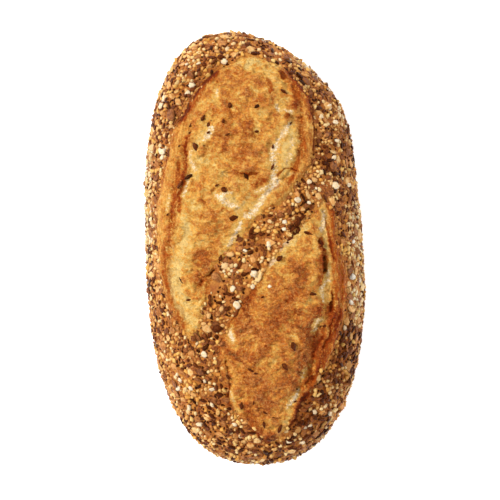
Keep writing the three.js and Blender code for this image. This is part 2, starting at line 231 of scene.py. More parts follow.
REDDENED = [
    (1.2, [(22, 99, 2.4), (28.4, 91, 3.6), (32.4, 81, 4), (33, 72, 3.4)]),
    (1.0, [(28.6, 71, 2), (28.4, 61, 2.4), (28.8, 53, 3), (25.6, 46, 2), (21, 36, 1.4), (14, 28, 1.2)]),
    (0.8, [(35.8, 66, 1.5), (36, 54, 1.5)]),
    (0.75, [(33, 64, 1.4), (33, 53, 1.8), (31, 45, 2), (26.6, 38.6, 1.6)]),
    (0.9, [(0, 35.6, 2), (6.6, 36.4, 2.6)]),
    (0.9, [(-8, 41, 2.4), (-3, 40, 2.6), (2, 39.4, 2)]),
    (1.5, [(11.6, 93, 1.2), (12.6, 85, 1.4), (14, 79, 1.2)]),
    (0.8, [(-14, 100.6, 1.2), (-8, 101.6, 1), (-3, 101.2, 1)]),
    (0.8, [(21, 75, 1.4), (20.4, 71, 2)]),
    (1.25, [(44.4, 25, 2.2), (43.8, 14, 2.4), (44.6, 4, 3), (46, -8, 3.8), (47, -20, 4), (46, -34, 4),
            (42, -48, 4), (37.6, -58, 3.8), (32, -69, 3.4), (25.5, -83, 2.8), (20.5, -95, 2.4)]),
    (0.6, [(-19, 97, 2), (-27, 87.5, 2.6), (-34, 77, 2.4)]),
    (1.4, [(-33, 66, 1.6), (-34.8, 58, 2.2), (-35.6, 48, 2.4), (-37.4, 38, 2.6), (-38.8, 28, 1.8),
           (-39.2, 21, 1)]),
    (1.25, [(-40, 48, 1.4), (-41, 38, 2.2), (-42.6, 28, 2.4), (-44, 18, 2.8), (-45.6, 8, 1.8),
            (-47, 2, 1.4)]),
    (1.5, [(-17, 98.6, 2.2), (-25, 90, 3), (-31.5, 80.5, 3), (-36.6, 72, 2.2)]),
    (0.9, [(-41, 64, 1.6), (-46.5, 52, 1.8), (-50.5, 38, 1.6)]),
    (0.9, [(-49, 5, 2.4), (-49.4, -8, 2.8), (-49.4, -20, 2.8), (-46.6, -32, 2.6), (-41.6, -43, 1.6)]),
    (0.5, [(-14, 62, 4), (-6, 50, 6), (0, 66, 4)]),
    (0.5, [(12, 88, 3), (13.5, 78, 3), (12, 66, 2.4)]),
    (0.5, [(-17, 12, 4), (-24, 2, 5), (-29, -8, 5), (-30, -20, 3)]),
    (0.35, [(22, -12, 7), (14, -30, 11), (9, -50, 12), (6, -70, 11), (4, -86, 8)]),
    (1.1, [(36, 3, 2.4), (36.4, -5, 2.8), (35.4, -12, 2.6), (34.4, -20, 2)]),
    (1.0, [(33, -30, 2.6), (33, -39, 3), (33.6, -50, 4), (32, -59, 4), (28, -67, 3.6), (23, -76, 3)]),
    (0.8, [(3, -20, 2), (-4, -28, 2.6), (-10, -38, 2.6), (-15, -46, 2)]),
    (1.0, [(-8, -88, 2.6), (-5, -97, 3.6), (-1, -105, 3)]),
    (1.7, [(41, -36, 2.6), (39.6, -50, 3.4), (36, -60, 3.4), (31.6, -70, 3), (26, -82, 2.4)]),
    (1.1, [(42.6, 22, 1.4), (42.4, 10, 1.6), (43, 0, 2), (43.6, -12, 2.4), (43.4, -22, 2.4),
           (43, -34, 2.4), (41.6, -42, 2.2)]),
    (1.3, [(25, 95, 3), (27, 86, 3.4), (25, 77, 2.2)]),
    (0.6, [(-12, -93, 2.6), (-6, -99, 3)]),
    (0.6, [(22.5, 80, 2.4), (25, 83, 2)]),
    (0.5, [(4, 35.5, 3), (-24, 7.4, 2)]),
]
# Dark red-brown: the oven's scorching, and painted shade in the deep holes and the grooves beside the lips
SCORCHED_AND_SHADED = [
    (1.5, [(-17, 99.2, 1.2), (-22, 94.6, 1.6), (-26, 90.4, 1.4), (-30.4, 84.8, 1.6)]),
    (1.3, [(-32.8, 79.6, 1.3), (-36.8, 72.4, 1.3)]),
    (0.7, [(-34, 62, 1), (-35, 55, 1.6), (-35.4, 47, 1.5), (-37.4, 38, 1.8), (-38.8, 28, 1)]),
    (0.4, [(-44, 25, 1), (-45.4, 17.4, 1.8), (-46.2, 10, 1.3), (-47.4, 4, 0.8)]),
    (1.4, [(33, 85, 1.1), (35.8, 77, 1.5), (36.8, 69, 1.5), (36.4, 61, 1.3), (36.8, 52, 1.1)]),
    (0.35, [(28.2, 84, 1), (28.6, 72, 1.2), (28, 60, 1.2), (26.6, 52, 1.5), (24.4, 44, 1.2)]),
    (1.0, [(14.4, 39.4, 1), (16.6, 42, 0.6), (20.4, 43, 0.5), (25.6, 41.4, 0.5)]),
    (0.9, [(18, 71, 1.1), (20.4, 72.4, 1.5)]),
    (0.6, [(12.5, 31, 0.6), (15.4, 33.4, 0.8)]),
    (1.9, [(19, 97.6, 1.3), (20, 94.8, 1.7)]),
    (0.7, [(24, 97, 1.4), (27.4, 91, 1.8), (31.6, 86, 1.6)]),
    (1.1, [(-7, 41, 0.5), (-2.6, 39.8, 0.9), (3, 40.8, 0.5)]),
    (0.4, [(1.6, 33.4, 1.3), (6.6, 36.4, 1.3)]),
    (1.7, [(38.4, -6.5, 0.8), (37.8, -9.6, 1.9), (37.8, -14.4, 1.5)]),
    (1.2, [(36.4, 2, 1.6), (38.2, -3, 1.2)]),
    (0.8, [(40.6, 14, 0.6), (42, 2, 0.8), (43, -8, 0.7)]),
    (1.1, [(41.4, -26.6, 0.7), (41.4, -33, 1.2), (40.2, -37, 1.1)]),
    (0.6, [(42, -38, 1.4), (41, -44, 1.8), (38.4, -51, 1.8), (35.4, -58, 1.4), (31, -70, 1.8)]),
    (0.8, [(34.6, -50.6, 1.2), (32, -55.4, 1.6), (29.6, -61, 1.4)]),
    (0.6, [(36, -33, 1), (37, -38, 1.6)]),
    (0.8, [(44.6, -30, 0.8), (44.6, -40, 1), (42.6, -49, 0.9)]),
    (0.7, [(47.6, -38, 0.8), (45, -50, 1), (40.6, -61, 1)]),
    (0.7, [(26, -66, 1.2), (27.6, -71, 1.4), (23, -79, 1.2)]),
    (0.9, [(28.4, -73, 1.4), (25, -77, 1.4)]),
    (1.0, [(25, -82, 1.2), (21.4, -89, 1.6), (19.6, -95, 1.6), (15.6, -102.6, 1.6)]),
    (0.75, [(-1, -20.4, 0.7), (-6.4, -27.6, 0.9), (-15, -39.4, 1), (-18.6, -45, 0.9)]),
    (1.0, [(-20, -49.6, 1), (-22, -54, 1.2), (-24.8, -58, 1)]),
    (0.8, [(-19, -62, 0.9), (-17.4, -69, 1), (-17.6, -76, 0.9), (-18.2, -83, 1), (-18.4, -89, 1.3)]),
    (0.8, [(-18.6, -9, 0.7), (-23, -12.2, 1), (-29, -17, 0.9), (-31.4, -18.6, 1)]),
    (0.7, [(-3.4, -106.6, 1.6), (3, -108.6, 1.4)]),
]
# A dull olive cream: the crumb's own colour, and painted grey-green shade beside the lips
DULL_AND_SHADED = [
    (0.8, [(-44, 3, 1), (-47, -8, 1.2), (-48, -16, 1.2), (-47, -24, 1.2), (-44, -31, 1.4),
           (-40.6, -38, 1.5)]),
    (0.5, [(39.4, 10, 1.8), (39.6, -16, 1.4), (39.2, -24, 1.8), (38.6, -33, 1.4)]),
    (0.5, [(34, -49, 1.4), (32, -56, 1.6)]),
    (0.8, [(-18.2, -65, 1.2), (-17.4, -75, 1.4)]),
    (0.7, [(13, -98, 2), (9, -104, 2.4)]),
    (0.4, [(16, 93, 3), (15, 84, 3)]),
]
# How much the oven browned the crust as a whole, and how much more or less in some places
OVEN_BROWNING = 0.04
OVEN_UNEVENNESS = 0.12
OVEN_UNEVEN_SIZE = 16
PALEST_HUSKS = -0.3
OVEN_PATCHES = [
    (-0.3, [(-58, 56, 5), (-61, 26, 5), (-61, -6, 5)]),
    (0.45, [(-14, 101, 4), (-26, 98, 5), (-36, 94, 5), (-36, 84, 5), (-41, 75, 4), (-44, 69, 3)]),
    (-0.12, [(28, 106, 4), (40, 97, 4)]),
    (0.35, [(40, 84, 4), (42, 74, 5)]),
    (0.8, [(25, 99, 3), (33, 90, 3)]),
    (0.3, [(29, 32, 3), (34, 34, 3)]),
    (0.4, [(41, 58, 4), (42, 48, 5), (46, 38, 5)]),
    (0.35, [(53, 64, 3), (54, 48, 3)]),
    (0.2, [(44, 68, 4), (46, 64, 4)]),
    (0.15, [(32, 25, 4), (26, 17, 4)]),
    (-0.15, [(44, 27, 3), (49, 25, 3)]),
    (0.45, [(20, 19, 3), (25, 15, 4)]),
    (0.35, [(6, 8, 4), (0, 4, 4)]),
    (-0.15, [(-16, -12, 5), (-26, -24, 6)]),
    (0.35, [(-20, -41, 4), (-30, -46, 4), (-36, -52, 4)]),
    (0.25, [(-25, -72, 4), (-34, -78, 4), (-26, -84, 3)]),
    (0.3, [(-21, -92, 4), (-18, -101, 3)]),
    (0.2, [(-32, -99, 4), (-23, -107, 4), (0, -116, 3)]),
    (0.08, [(-8, 112, 6), (16, 108, 6)]),
    (0.9, [(50, -46, 3), (48, -57, 5), (44, -71, 7), (36, -85, 7)]),
    (0.6, [(36, -98, 5), (31, -108, 5)]),
    (1.0, [(27, -84, 4), (26, -94, 6), (21, -104, 6)]),
    (-0.25, [(56, -44, 4), (58, -20, 5), (58, 0, 5), (58, 20, 5)]),
    (-0.15, [(50, 84, 3), (55, 66, 3)]),
    (0.4, [(-22.5, -56, 2), (-22.5, -70, 2), (-21, -82, 2), (-17.5, -91, 2)]),
]
STROKE_POINTS = 18
STROKE_REACH = 3

# How far the torn edges and strokes wander from their smooth lines, in long and in short bends
WANDER = 1.1
WANDER_SIZE = 7
RAVEL = 0.6
RAVEL_SIZE = 2.4

# Lumps of the risen dough: waves across each other, as (mm per wave along x, along y, height)
LUMPS = [
    (27, 38, 0.7),
    (-16, 21, 0.45),
    (11, -13, 0.3),
]

# The skin: a ball's columns round the loaf and rows from tip to tip, and the cuts across each of
# its faces where the loaf burst, out to where the lips reach
SKIN_COLUMNS = 146
SKIN_ROWS = 188
SKIN_CUTS = 2
# A ball's columns start at half a step, so all its corners are counted in halves of the finest steps
FINE_COLUMNS = SKIN_COLUMNS * (SKIN_CUTS + 1) * 2
FINE_ROWS = SKIN_ROWS * (SKIN_CUTS + 1) * 2
DOME_SHARE = 0.82
FLOOR_SHARE = 0.04
MEAN_GIRTH = 54
EVEN_STEPS = 2000


def superellipse(share, roundness):
    return np.maximum(0, 1 - np.abs(share) ** roundness) ** (1 / roundness)


def signed_power(value, exponent):
    return np.sign(value) * np.abs(value) ** exponent


def bell(value):
    return np.exp(-(value ** 2))


def smoothstep(value, low, high):
    share = np.clip((value - low) / (high - low), 0, 1)
    return share * share * (3 - 2 * share)


def station(along):
    """The loaf's section from -1, its near tip, to 1, its far tip"""
    width = superellipse(along, np.where(along > 0, FAR_ROUNDNESS, NEAR_ROUNDNESS))
    left = HALF_WIDTH * width * (1 - TAPER * along)
    swell = bell((along * HALF_LENGTH - SHOULDER_AT) / SHOULDER_SPREAD)
    right = left + SHOULDER_SWELL * swell * np.sqrt(width)
    middle = -BEND * along ** 2 - LEAN * np.maximum(0, along) ** 1.5
    height = superellipse(along, ALONG_ROUNDNESS)
    return middle, left, right, (CROWN_HEIGHT - WAIST_HEIGHT) * height, TUCK * WAIST_HEIGHT * height


def plain_point(along, turn):
    """The loaf before it burst; turn goes from the left side over the top to the right side"""
    middle, left, right, crown, bulge = station(along)
    across = -signed_power(np.cos(turn), 2 / ACROSS_ROUNDNESS)
    up = signed_power(np.sin(turn), 2 / ACROSS_ROUNDNESS)
    x = middle + across * np.where(across < 0, left, right)
    z = WAIST_HEIGHT + up * np.where(up > 0, crown, bulge)
    return np.stack([x, along * HALF_LENGTH, np.maximum(0, z)], axis=-1)


def outward(points):
    """The way out of the loaf at points of its skin"""
    x, y, z = points.T
    middle, left, right, crown, bulge = station(np.clip(y / HALF_LENGTH, -1, 1))
    width = np.maximum(1, np.where(x < middle, left, right))
    height = np.maximum(1, np.where(z > WAIST_HEIGHT, crown, bulge))
    way = np.stack([
        (x - middle) / width ** 2,
        y / HALF_LENGTH ** 2,
        (z - WAIST_HEIGHT) / height ** 2,
    ], axis=-1)
    return way / np.linalg.norm(way, axis=1, keepdims=True)


def curve_through(points, closed, count):
    """A smooth curve through all the points, as count straight steps"""
    stops = np.array(points, float)
    if closed:
        stops = np.vstack([stops[-1:], stops, stops[:2]])
    else:
        stops = np.vstack([2 * stops[0] - stops[1], stops, 2 * stops[-1] - stops[-2]])
    spans = len(stops) - 3
    place = np.linspace(0, spans, count + 1)
    span = np.minimum(place.astype(int), spans - 1)
    t = (place - span)[:, None]
    before, start, end, after = [stops[span + step] for step in range(4)]
    leave = (end - before) / 2
    arrive = (after - start) / 2
    square = 3 * (end - start) - 2 * leave - arrive
    cube = 2 * (start - end) + leave + arrive
    return start + leave * t + square * t ** 2 + cube * t ** 3


def distance_to_curve(curve, x, y):
    """Distance to the nearest place of a curve, counted in the half widths that it has there"""
    nearest = np.full(len(x), np.inf)
    for (ax, ay, a_width), (bx, by, b_width) in zip(curve[:-1], curve[1:]):
        dx = bx - ax
        dy = by - ay
        share = np.clip(((x - ax) * dx + (y - ay) * dy) / (dx * dx + dy * dy), 0, 1)
        distance = np.hypot(x - ax - share * dx, y - ay - share * dy)
        nearest = np.minimum(nearest, distance / (a_width + share * (b_width - a_width)))
    return nearest


def depth_inside(edge, x, y):
    """Distance from a torn edge, positive inside it"""
    crossings = np.zeros(len(x), int)
    for (ax, ay, _), (bx, by, _) in zip(edge[:-1], edge[1:]):
        if ay != by:
            spans = (ay > y) != (by > y)
            crossings += spans & (x < ax + (y - ay) / (by - ay) * (bx - ax))
    distance = distance_to_curve(edge, x, y)
    return np.where(crossings % 2 == 1, distance, -distance)


def brush(strokes, x, y):
    """The strongest of the strokes over each place"""
    mark = np.zeros(len(x))
    for strength, points in strokes:
        line = curve_through(points, False, STROKE_POINTS)
        low_x, low_y = (line[:, :2] - STROKE_REACH * line[:, 2:]).min(axis=0)
        high_x, high_y = (line[:, :2] + STROKE_REACH * line[:, 2:]).max(axis=0)
        near = (x > low_x) & (x < high_x) & (y > low_y) & (y < high_y)
        reach = strength * bell(distance_to_curve(line, x[near], y[near]))
        mark[near] = np.where(np.abs(reach) > np.abs(mark[near]), reach, mark[near])
    return mark


def unevenness(points, size, shift):
    """Soft noise from -1 to 1 with lumps of that size"""
    return np.array([noise.noise((x / size + shift, y / size, z / size)) for x, y, z in points])


def oven_browned(points):
    """How much the oven browned each place, up to 1, and below 0 where the husks stayed pale"""
    patches = brush(OVEN_PATCHES, points[:, 0], points[:, 1])
    uneven = OVEN_UNEVENNESS * unevenness(points, OVEN_UNEVEN_SIZE, 2.9)
    return np.clip(OVEN_BROWNING + patches + uneven, PALEST_HUSKS, 1)


def places_of(piece):
    flat = np.empty(len(piece.data.vertices) * 3)
    piece.data.vertices.foreach_get("co", flat)
    return flat.reshape(-1, 3) / MM


def move_vertices(piece, points):
    piece.data.vertices.foreach_set("co", (points * MM).ravel())
    piece.data.update()


def vertex_normals(piece):
    flat = np.empty(len(piece.data.vertices) * 3)
    piece.data.vertices.foreach_get("normal", flat)
    return flat.reshape(-1, 3)


def even_rows(share):
    """Rows of the skin from tip to tip, evenly spaced along it"""
    along = np.sin(np.linspace(0, math.pi / 2, EVEN_STEPS))
    radius = MEAN_GIRTH * superellipse(along, ACROSS_ROUNDNESS)
    steps = np.hypot(np.diff(along) * HALF_LENGTH, np.diff(radius))
    walked = np.concatenate([[0], np.cumsum(steps)])
    return np.sign(share) * np.interp(np.abs(share), walked / walked[-1], along)


def turn_round(share, along):
    """Turn at a share of the columns: most of them over the dome, few under the loaf"""
    bulge = np.maximum(station(along)[4], 1e-6)
    sine = np.minimum(1, WAIST_HEIGHT / bulge)
    tuck = np.minimum(STEEPEST_TUCK, np.arcsin(sine ** (ACROSS_ROUNDNESS / 2)))
    side_share = (1 - DOME_SHARE - FLOOR_SHARE) / 2
    stops = np.cumsum([0, DOME_SHARE, side_share, FLOOR_SHARE, side_share])
    turns = [0 * tuck, math.pi + 0 * tuck, math.pi + tuck, 2 * math.pi - tuck,
             2 * math.pi + 0 * tuck]
    turn = np.zeros(len(share))
    for start, end, from_turn, to_turn in zip(stops[:-1], stops[1:], turns[:-1], turns[1:]):
        inside = (share >= start) & (share <= end)
        along_stretch = from_turn + (to_turn - from_turn) * (share - start) / (end - start)
        turn = np.where(inside, along_stretch, turn)
    return turn


def rows_and_columns(ball):
    """Row and column of each corner of the ball, in halves of its finest steps"""
    ball_x, ball_y, ball_z = (ball / np.linalg.norm(ball, axis=1, keepdims=True)).T
    row = np.rint(np.arccos(np.clip(ball_y, -1, 1)) / math.pi * FINE_ROWS)
    column = np.rint(np.arctan2(ball_z, -ball_x) / (2 * math.pi) * FINE_COLUMNS) % FINE_COLUMNS
    return row, np.where((row == 0) | (row == FINE_ROWS), 0, column)


def plain_skin(ball):
    """Where the corners of a ball come to lie on the loaf before it burst"""
    row, column = rows_and_columns(ball)
    along = even_rows(1 - 2 * row / FINE_ROWS)
    return plain_point(along, turn_round(column / FINE_COLUMNS, along))


def renumber(places, faces, order):
    """A mesh with its corners in that order and its faces sorted. Blender numbers new corners
    differently from run to run, and the seeded grains have to fall alike in each"""
    rank = np.empty(len(order), int)
    rank[order] = np.arange(len(order))
    sorted_faces = []
    for face in faces:
        corners = rank[list(face)].tolist()
        first = corners.index(min(corners))
        sorted_faces.append(tuple(corners[first:] + corners[:first]))
    return places[order], sorted(sorted_faces)


edges = [
    curve_through([(x, y, 1) for x, y in points], True, EDGE_POINTS)
    for points in (UPPER_EDGE, LOWER_EDGE)
]

bpy.ops.object.select_all(action="DESELECT")
bpy.ops.mesh.primitive_uv_sphere_add(
    segments=SKIN_COLUMNS,
    ring_count=SKIN_ROWS,
    radius=1,
    rotation=(-math.pi / 2, 0, 0),
)
loaf = bpy.context.object
loaf.name = "loaf_crust"
loaf.data.name = "loaf_crust"
bpy.ops.object.transform_apply(location=False, rotation=True, scale=False)

# The skin is finer where the loaf burst
x, y, z = plain_skin(places_of(loaf)).T
near_burst = np.maximum(*[depth_inside(edge, x, y) for edge in edges]) > -LIPS_REACH
near_burst &= z > WAIST_HEIGHT
bpy.ops.object.mode_set(mode="EDIT")
bpy.ops.mesh.select_all(action="DESELECT")
shape = bmesh.from_edit_mesh(loaf.data)
for corner in shape.verts:
    corner.select = bool(near_burst[corner.index])
shape.select_flush(True)
bmesh.update_edit_mesh(loaf.data)
bpy.ops.mesh.subdivide(number_cuts=SKIN_CUTS, ngon=False)
bpy.ops.object.mode_set(mode="OBJECT")

ball = places_of(loaf)
row, column = rows_and_columns(ball)
ball, ball_faces = renumber(ball, [face.vertices for face in loaf.data.polygons], np.lexsort((column, row)))
loaf.data.clear_geometry()
loaf.data.from_pydata((ball * MM).tolist(), [], ball_faces)
bpy.ops.object.shade_smooth()

points = plain_skin(ball)
out = outward(points)
x, y, z = points.T
above_waist = smoothstep(z, WAIST_HEIGHT, WAIST_HEIGHT + BURST_BLEND)
x = x + WANDER * unevenness(points, WANDER_SIZE, 1.7) + RAVEL * unevenness(points, RAVEL_SIZE, 5.1)
y = y + WANDER * unevenness(points, WANDER_SIZE, 9.2) + RAVEL * unevenness(points, RAVEL_SIZE, 3.4)

depths = [depth_inside(edge, x, y) for edge in edges]
opened = np.maximum(*depths)
lumps = sum(
    height * np.sin(2 * math.pi * (x / across + y / lengthways))
    for across, lengthways, height in LUMPS
)
lips = brush(LIPS, x, y)
pale = brush(PALE, x, y)
height = sum(BLOOM_RISE * smoothstep(depth, 0, BLOOM_FULL) for depth in depths)
height += (smoothstep(opened, *LUMPS_FROM) * lumps
           + smoothstep(opened, -LIPS_REACH, 0.5) * (lips + brush(FOLDS, x, y)))
height -= CREASE_DEPTH * bell((opened - CREASE_AT) / CREASE_SPREAD) + TEAR_DEPTH * pale
height -= CRUST_SINKS * (1 - smoothstep(opened, -2, 1))
height = above_waist * height - (1 - above_waist) * CRUST_SINKS * smoothstep(z, 0, FLOOR_BLEND)
points = points + out * height[:, None]
move_vertices(loaf, points)


GROUP_LEVELS = 20


def shade_group(piece, name, weights):
    """A vertex group that holds the weights, in steps of a twentieth"""
    group = piece.vertex_groups.new(name=name)
    levels = np.rint(weights * GROUP_LEVELS).astype(int)
    for level in range(1, GROUP_LEVELS + 1):
        group.add(np.nonzero(levels == level)[0].tolist(), level / GROUP_LEVELS, "REPLACE")


# The way that the risen dough stretched, which its wrinkles follow
GRAIN_OF_DOUGH = math.radians(-12)


def roughen(piece, name, kind, size, height, group, stretch=(1, 1, 1), **look):
    """Raises and sinks the skin by a noise texture with lumps of that size, inside a group"""
    texture = bpy.data.textures.new(name, type=kind)
    texture.noise_scale = size * MM
    for key, value in look.items():
        setattr(texture, key, value)
    guide = bpy.data.objects.new(name, None)
    guide.scale = stretch
    guide.rotation_euler = (0, 0, GRAIN_OF_DOUGH)
    bpy.context.scene.collection.objects.link(guide)
    bpy.context.view_layer.update()
    modifier = piece.modifiers.new(name, "DISPLACE")
    modifier.texture = texture
    modifier.texture_coords = "OBJECT"
    modifier.texture_coords_object = guide
    modifier.strength = height * MM
    modifier.vertex_group = group
    bpy.ops.object.modifier_apply(modifier=name)
    bpy.data.objects.remove(guide)
    bpy.data.textures.remove(texture)


lip_share = smoothstep(lips, 0.4, 1.3) * above_waist
shade_group(loaf, "risen_dough", smoothstep(opened, 0, 3) * above_waist * (1 - 0.8 * lip_share))
shade_group(loaf, "lips", lip_share)
shade_group(loaf, "seeded_crust", (1 - smoothstep(opened, -3, 1) * above_waist) * smoothstep(z, 0.5, 8))
roughen(loaf, "dough_blisters", "CLOUDS", 7, 2.4, "risen_dough", noise_depth=2)
roughen(loaf, "dough_wrinkles", "MUSGRAVE", 4.5, 1.1, "risen_dough", stretch=(1.3, 0.8, 1),
        musgrave_type="RIDGED_MULTIFRACTAL", octaves=3)
roughen(loaf, "dough_crags", "CLOUDS", 1.4, 1.3, "risen_dough", noise_depth=2)
roughen(loaf, "lip_folds", "CLOUDS", 2.2, 1.3, "lips", stretch=(0.6, 3, 1), noise_depth=3)
roughen(loaf, "lip_crags", "CLOUDS", 1.3, 0.8, "lips", noise_depth=2)
roughen(loaf, "crust_lumps", "CLOUDS", 6, 2.2, "seeded_crust", noise_depth=3)
relief = np.sum((places_of(loaf) - points) * out, axis=1)


def write_mask(piece, name, values):
    attribute = piece.data.attributes.new(name, "FLOAT", "POINT")
    attribute.data.foreach_set("value", np.asarray(values, np.float32))


# Masks that the material reads; the distance inside a torn edge is kept in centimetres
FAR_FROM_BURST = -20
write_mask(loaf, "opened", np.where(above_waist > 0, opened, FAR_FROM_BURST) / 10)
write_mask(loaf, "lip", lip_share)
write_mask(loaf, "relief", relief)
write_mask(loaf, "underside", 1 - smoothstep(z, 0.1, 2.5))
write_mask(loaf, "shade", (brush(BROWNED, x, y) - brush(GILDED, x, y)) * above_waist)
write_mask(loaf, "browning", oven_browned(points))
write_mask(loaf, "pale", pale ** 0.7 * above_waist)
for name, strokes in (("reddened", REDDENED), ("scorch_and_shade", SCORCHED_AND_SHADED), ("dull", DULL_AND_SHADED)):
    write_mask(loaf, name, brush(strokes, x, y) * above_waist)

# How much brighter than its own colour a surface comes out under the lamps of this scene
STUDIO_LEVEL = 1.58


def as_seen(red, green, blue):
    """The own colour of a surface that the picture shows in this colour, each part 0 to 255"""
    parts = [((part / 255 + 0.055) / 1.055) ** 2.4 / STUDIO_LEVEL for part in (red, green, blue)]
    return (*parts, 1)


def add_node(tree, kind, sockets=None, **settings):
    """A node with its settings; each socket is given a value or the output that feeds it"""
    node = tree.nodes.new(kind)
    for name, value in settings.items():
        setattr(node, name, value)
    for socket, value in (sockets or {}).items():
        if isinstance(value, bpy.types.NodeSocket):
            tree.links.new(value, node.inputs[socket])
        else:
            node.inputs[socket].default_value = value
    return node


def calculate(tree, operation, first, second=0.0, third=0.0, clamp=False):
    node = add_node(tree, "ShaderNodeMath", {0: first, 1: second, 2: third}, operation=operation,
                    use_clamp=clamp)
    return node.outputs[0]


def add_up(tree, start, *weighted):
    """A start value plus each of the outputs times its weight, kept between 0 and 1 at the end"""
    total = start
    for step, (value, weight) in enumerate(weighted):
        total = calculate(tree, "MULTIPLY_ADD", value, weight, total, clamp=step == len(weighted) - 1)
    return total


def fade(tree, value, low, high):
    """0 below low, 1 above high, smooth between"""
    node = add_node(
        tree, "ShaderNodeMapRange",
        {"Value": value, "From Min": low, "From Max": high},
        interpolation_type="SMOOTHSTEP",
    )
    return node.outputs["Result"]


def blend_colours(tree, share, first, second, blend_type="MIX"):
    node = add_node(tree, "ShaderNodeMix", {0: share, 6: first, 7: second}, data_type="RGBA",
                    blend_type=blend_type)
    return node.outputs[2]


def colour_ramp(tree, value, stops):
    node = add_node(tree, "ShaderNodeValToRGB", {"Fac": value})
    steps = node.color_ramp.elements
    while len(steps) < len(stops):
        steps.new(0.5)
    for step, (place, colour) in zip(steps, stops):
        step.position = place
        step.color = colour
    return node.outputs["Color"]


def mask(tree, name):
    return add_node(tree, "ShaderNodeAttribute", attribute_name=name).outputs["Fac"]


def noise_over(tree, place, size, detail=3, roughness=0.55, distortion=0.0):
    """Noise about 0, most of it between -1 and 1"""
    node = add_node(
        tree, "ShaderNodeTexNoise",
        {"Vector": place, "Scale": 1 / size, "Detail": detail, "Roughness": roughness,
         "Distortion": distortion},
    )
    return calculate(tree, "MULTIPLY_ADD", node.outputs["Fac"], 5, -2.5)


def millimetres(tree, stretch=(1, 1, 1), turn=0.0):
    """Object coordinates in millimetres, stretched and turned about the upright axis"""
    coordinates = add_node(tree, "ShaderNodeTexCoord")
    scale = [1 / MM / part for part in stretch]
    node = add_node(tree, "ShaderNodeMapping", {
        "Vector": coordinates.outputs["Object"],
        "Rotation": (0, 0, turn),
        "Scale": scale,
    })
    return node.outputs["Vector"]


def new_material(name):
    material = bpy.data.materials.new(name)
    material.use_nodes = True
    tree = material.node_tree
    return material, tree, tree.nodes["Principled BSDF"]


# The colour that the oven's browning multiplies every surface's own colour by
MOST_BROWNED = (0.41, 0.25, 0.12, 1)
PALEST = (0.93, 1.05, 1.34, 1)
oven_browning = bpy.data.node_groups.new("oven_browning", "ShaderNodeTree")
oven_browning.interface.new_socket("Strength", in_out="INPUT", socket_type="NodeSocketFloat")
oven_browning.interface.new_socket("Tint", in_out="OUTPUT", socket_type="NodeSocketColor")
group_in = add_node(oven_browning, "NodeGroupInput")
group_out = add_node(oven_browning, "NodeGroupOutput")
browning = calculate(oven_browning, "MULTIPLY", mask(oven_browning, "browning"),
                     group_in.outputs["Strength"])
tint = blend_colours(oven_browning, browning, (1, 1, 1, 1), MOST_BROWNED)
paleness = calculate(oven_browning, "MULTIPLY", mask(oven_browning, "browning"), -3.5, clamp=True)
tint = blend_colours(oven_browning, paleness, tint, PALEST)
oven_browning.links.new(tint, group_out.inputs["Tint"])


def browned_by_oven(tree, strength):
    return add_node(tree, "ShaderNodeGroup", {"Strength": strength}, node_tree=oven_browning)


crust_material, tree, shader = new_material("baked_sourdough")
place = millimetres(tree)
opened_mask = calculate(tree, "MULTIPLY", mask(tree, "opened"), 10)
streak_place = millimetres(tree, stretch=(1.35, 0.85, 1), turn=math.radians(16))
streaks = noise_over(tree, streak_place, 1.9, detail=5, roughness=0.72, distortion=1.2)
patches = noise_over(tree, place, 3.6, detail=4, roughness=0.62, distortion=0.8)
blotches = noise_over(tree, place, 7, detail=3, roughness=0.6)
crumbs = noise_over(tree, place, 1.15, detail=2, roughness=0.6, distortion=0.5)
worms = noise_over(tree, place, 3.4, detail=2, roughness=0.5, distortion=1.6)
wrinkles = fade(tree, calculate(tree, "ABSOLUTE", worms), 0.32, 0.0)
furrow_worms = noise_over(tree, streak_place, 2.8, detail=3, roughness=0.55, distortion=1.4)
furrows = fade(tree, calculate(tree, "ABSOLUTE", furrow_worms), 0.24, 0.0)

# The bare risen dough: mottled from gold to brown, browner on the tops of its blisters
baked = add_up(
    tree, 0.34,
    (streaks, 0.18),
    (patches, 0.2),
    (blotches, 0.14),
    (crumbs, 0.05),
    (wrinkles, -0.06),
    (mask(tree, "relief"), 0.12),
    (mask(tree, "shade"), 0.26),
)
dough_colour = colour_ramp(tree, baked, [
    (0.0, as_seen(255, 216, 134)),
    (0.2, as_seen(253, 193, 92)),
    (0.42, as_seen(240, 157, 66)),
    (0.6, as_seen(212, 120, 52)),
    (0.8, as_seen(164, 80, 32)),
    (1.0, as_seen(100, 38, 8)),
])
browned_part = fade(tree, baked, 0.1, 0.5)
ruddiness = fade(tree, noise_over(tree, place, 10, detail=3, roughness=0.6), -0.3, 1.3)
ruddiness = calculate(tree, "MULTIPLY", ruddiness, browned_part)
furrow_shade_share = calculate(tree, "MULTIPLY", calculate(tree, "MULTIPLY", furrows, browned_part), 0.6)
spots = fade(tree, noise_over(tree, place, 2.2, detail=3, roughness=0.7, distortion=0.8), 0.0, 1.3)
spots = calculate(tree, "MULTIPLY", spots, fade(tree, baked, 0.35, 0.65))
deep_spots = fade(tree, noise_over(tree, place, 2.8, detail=4, roughness=0.7, distortion=1.0), 0.2, 0.8)
deep_spots = calculate(tree, "MULTIPLY", deep_spots, fade(tree, mask(tree, "shade"), 0.2, 0.7))
dough_colour = blend_colours(tree, ruddiness, dough_colour, (0.82, 0.6, 0.46, 1), "MULTIPLY")
# Painted highlight along the crests of the wrinkles: a pale cream over them here, and a lighter step of the
# ramp above
dough_colour = blend_colours(tree, calculate(tree, "MULTIPLY", wrinkles, 0.36), dough_colour,
                             as_seen(246, 194, 122))
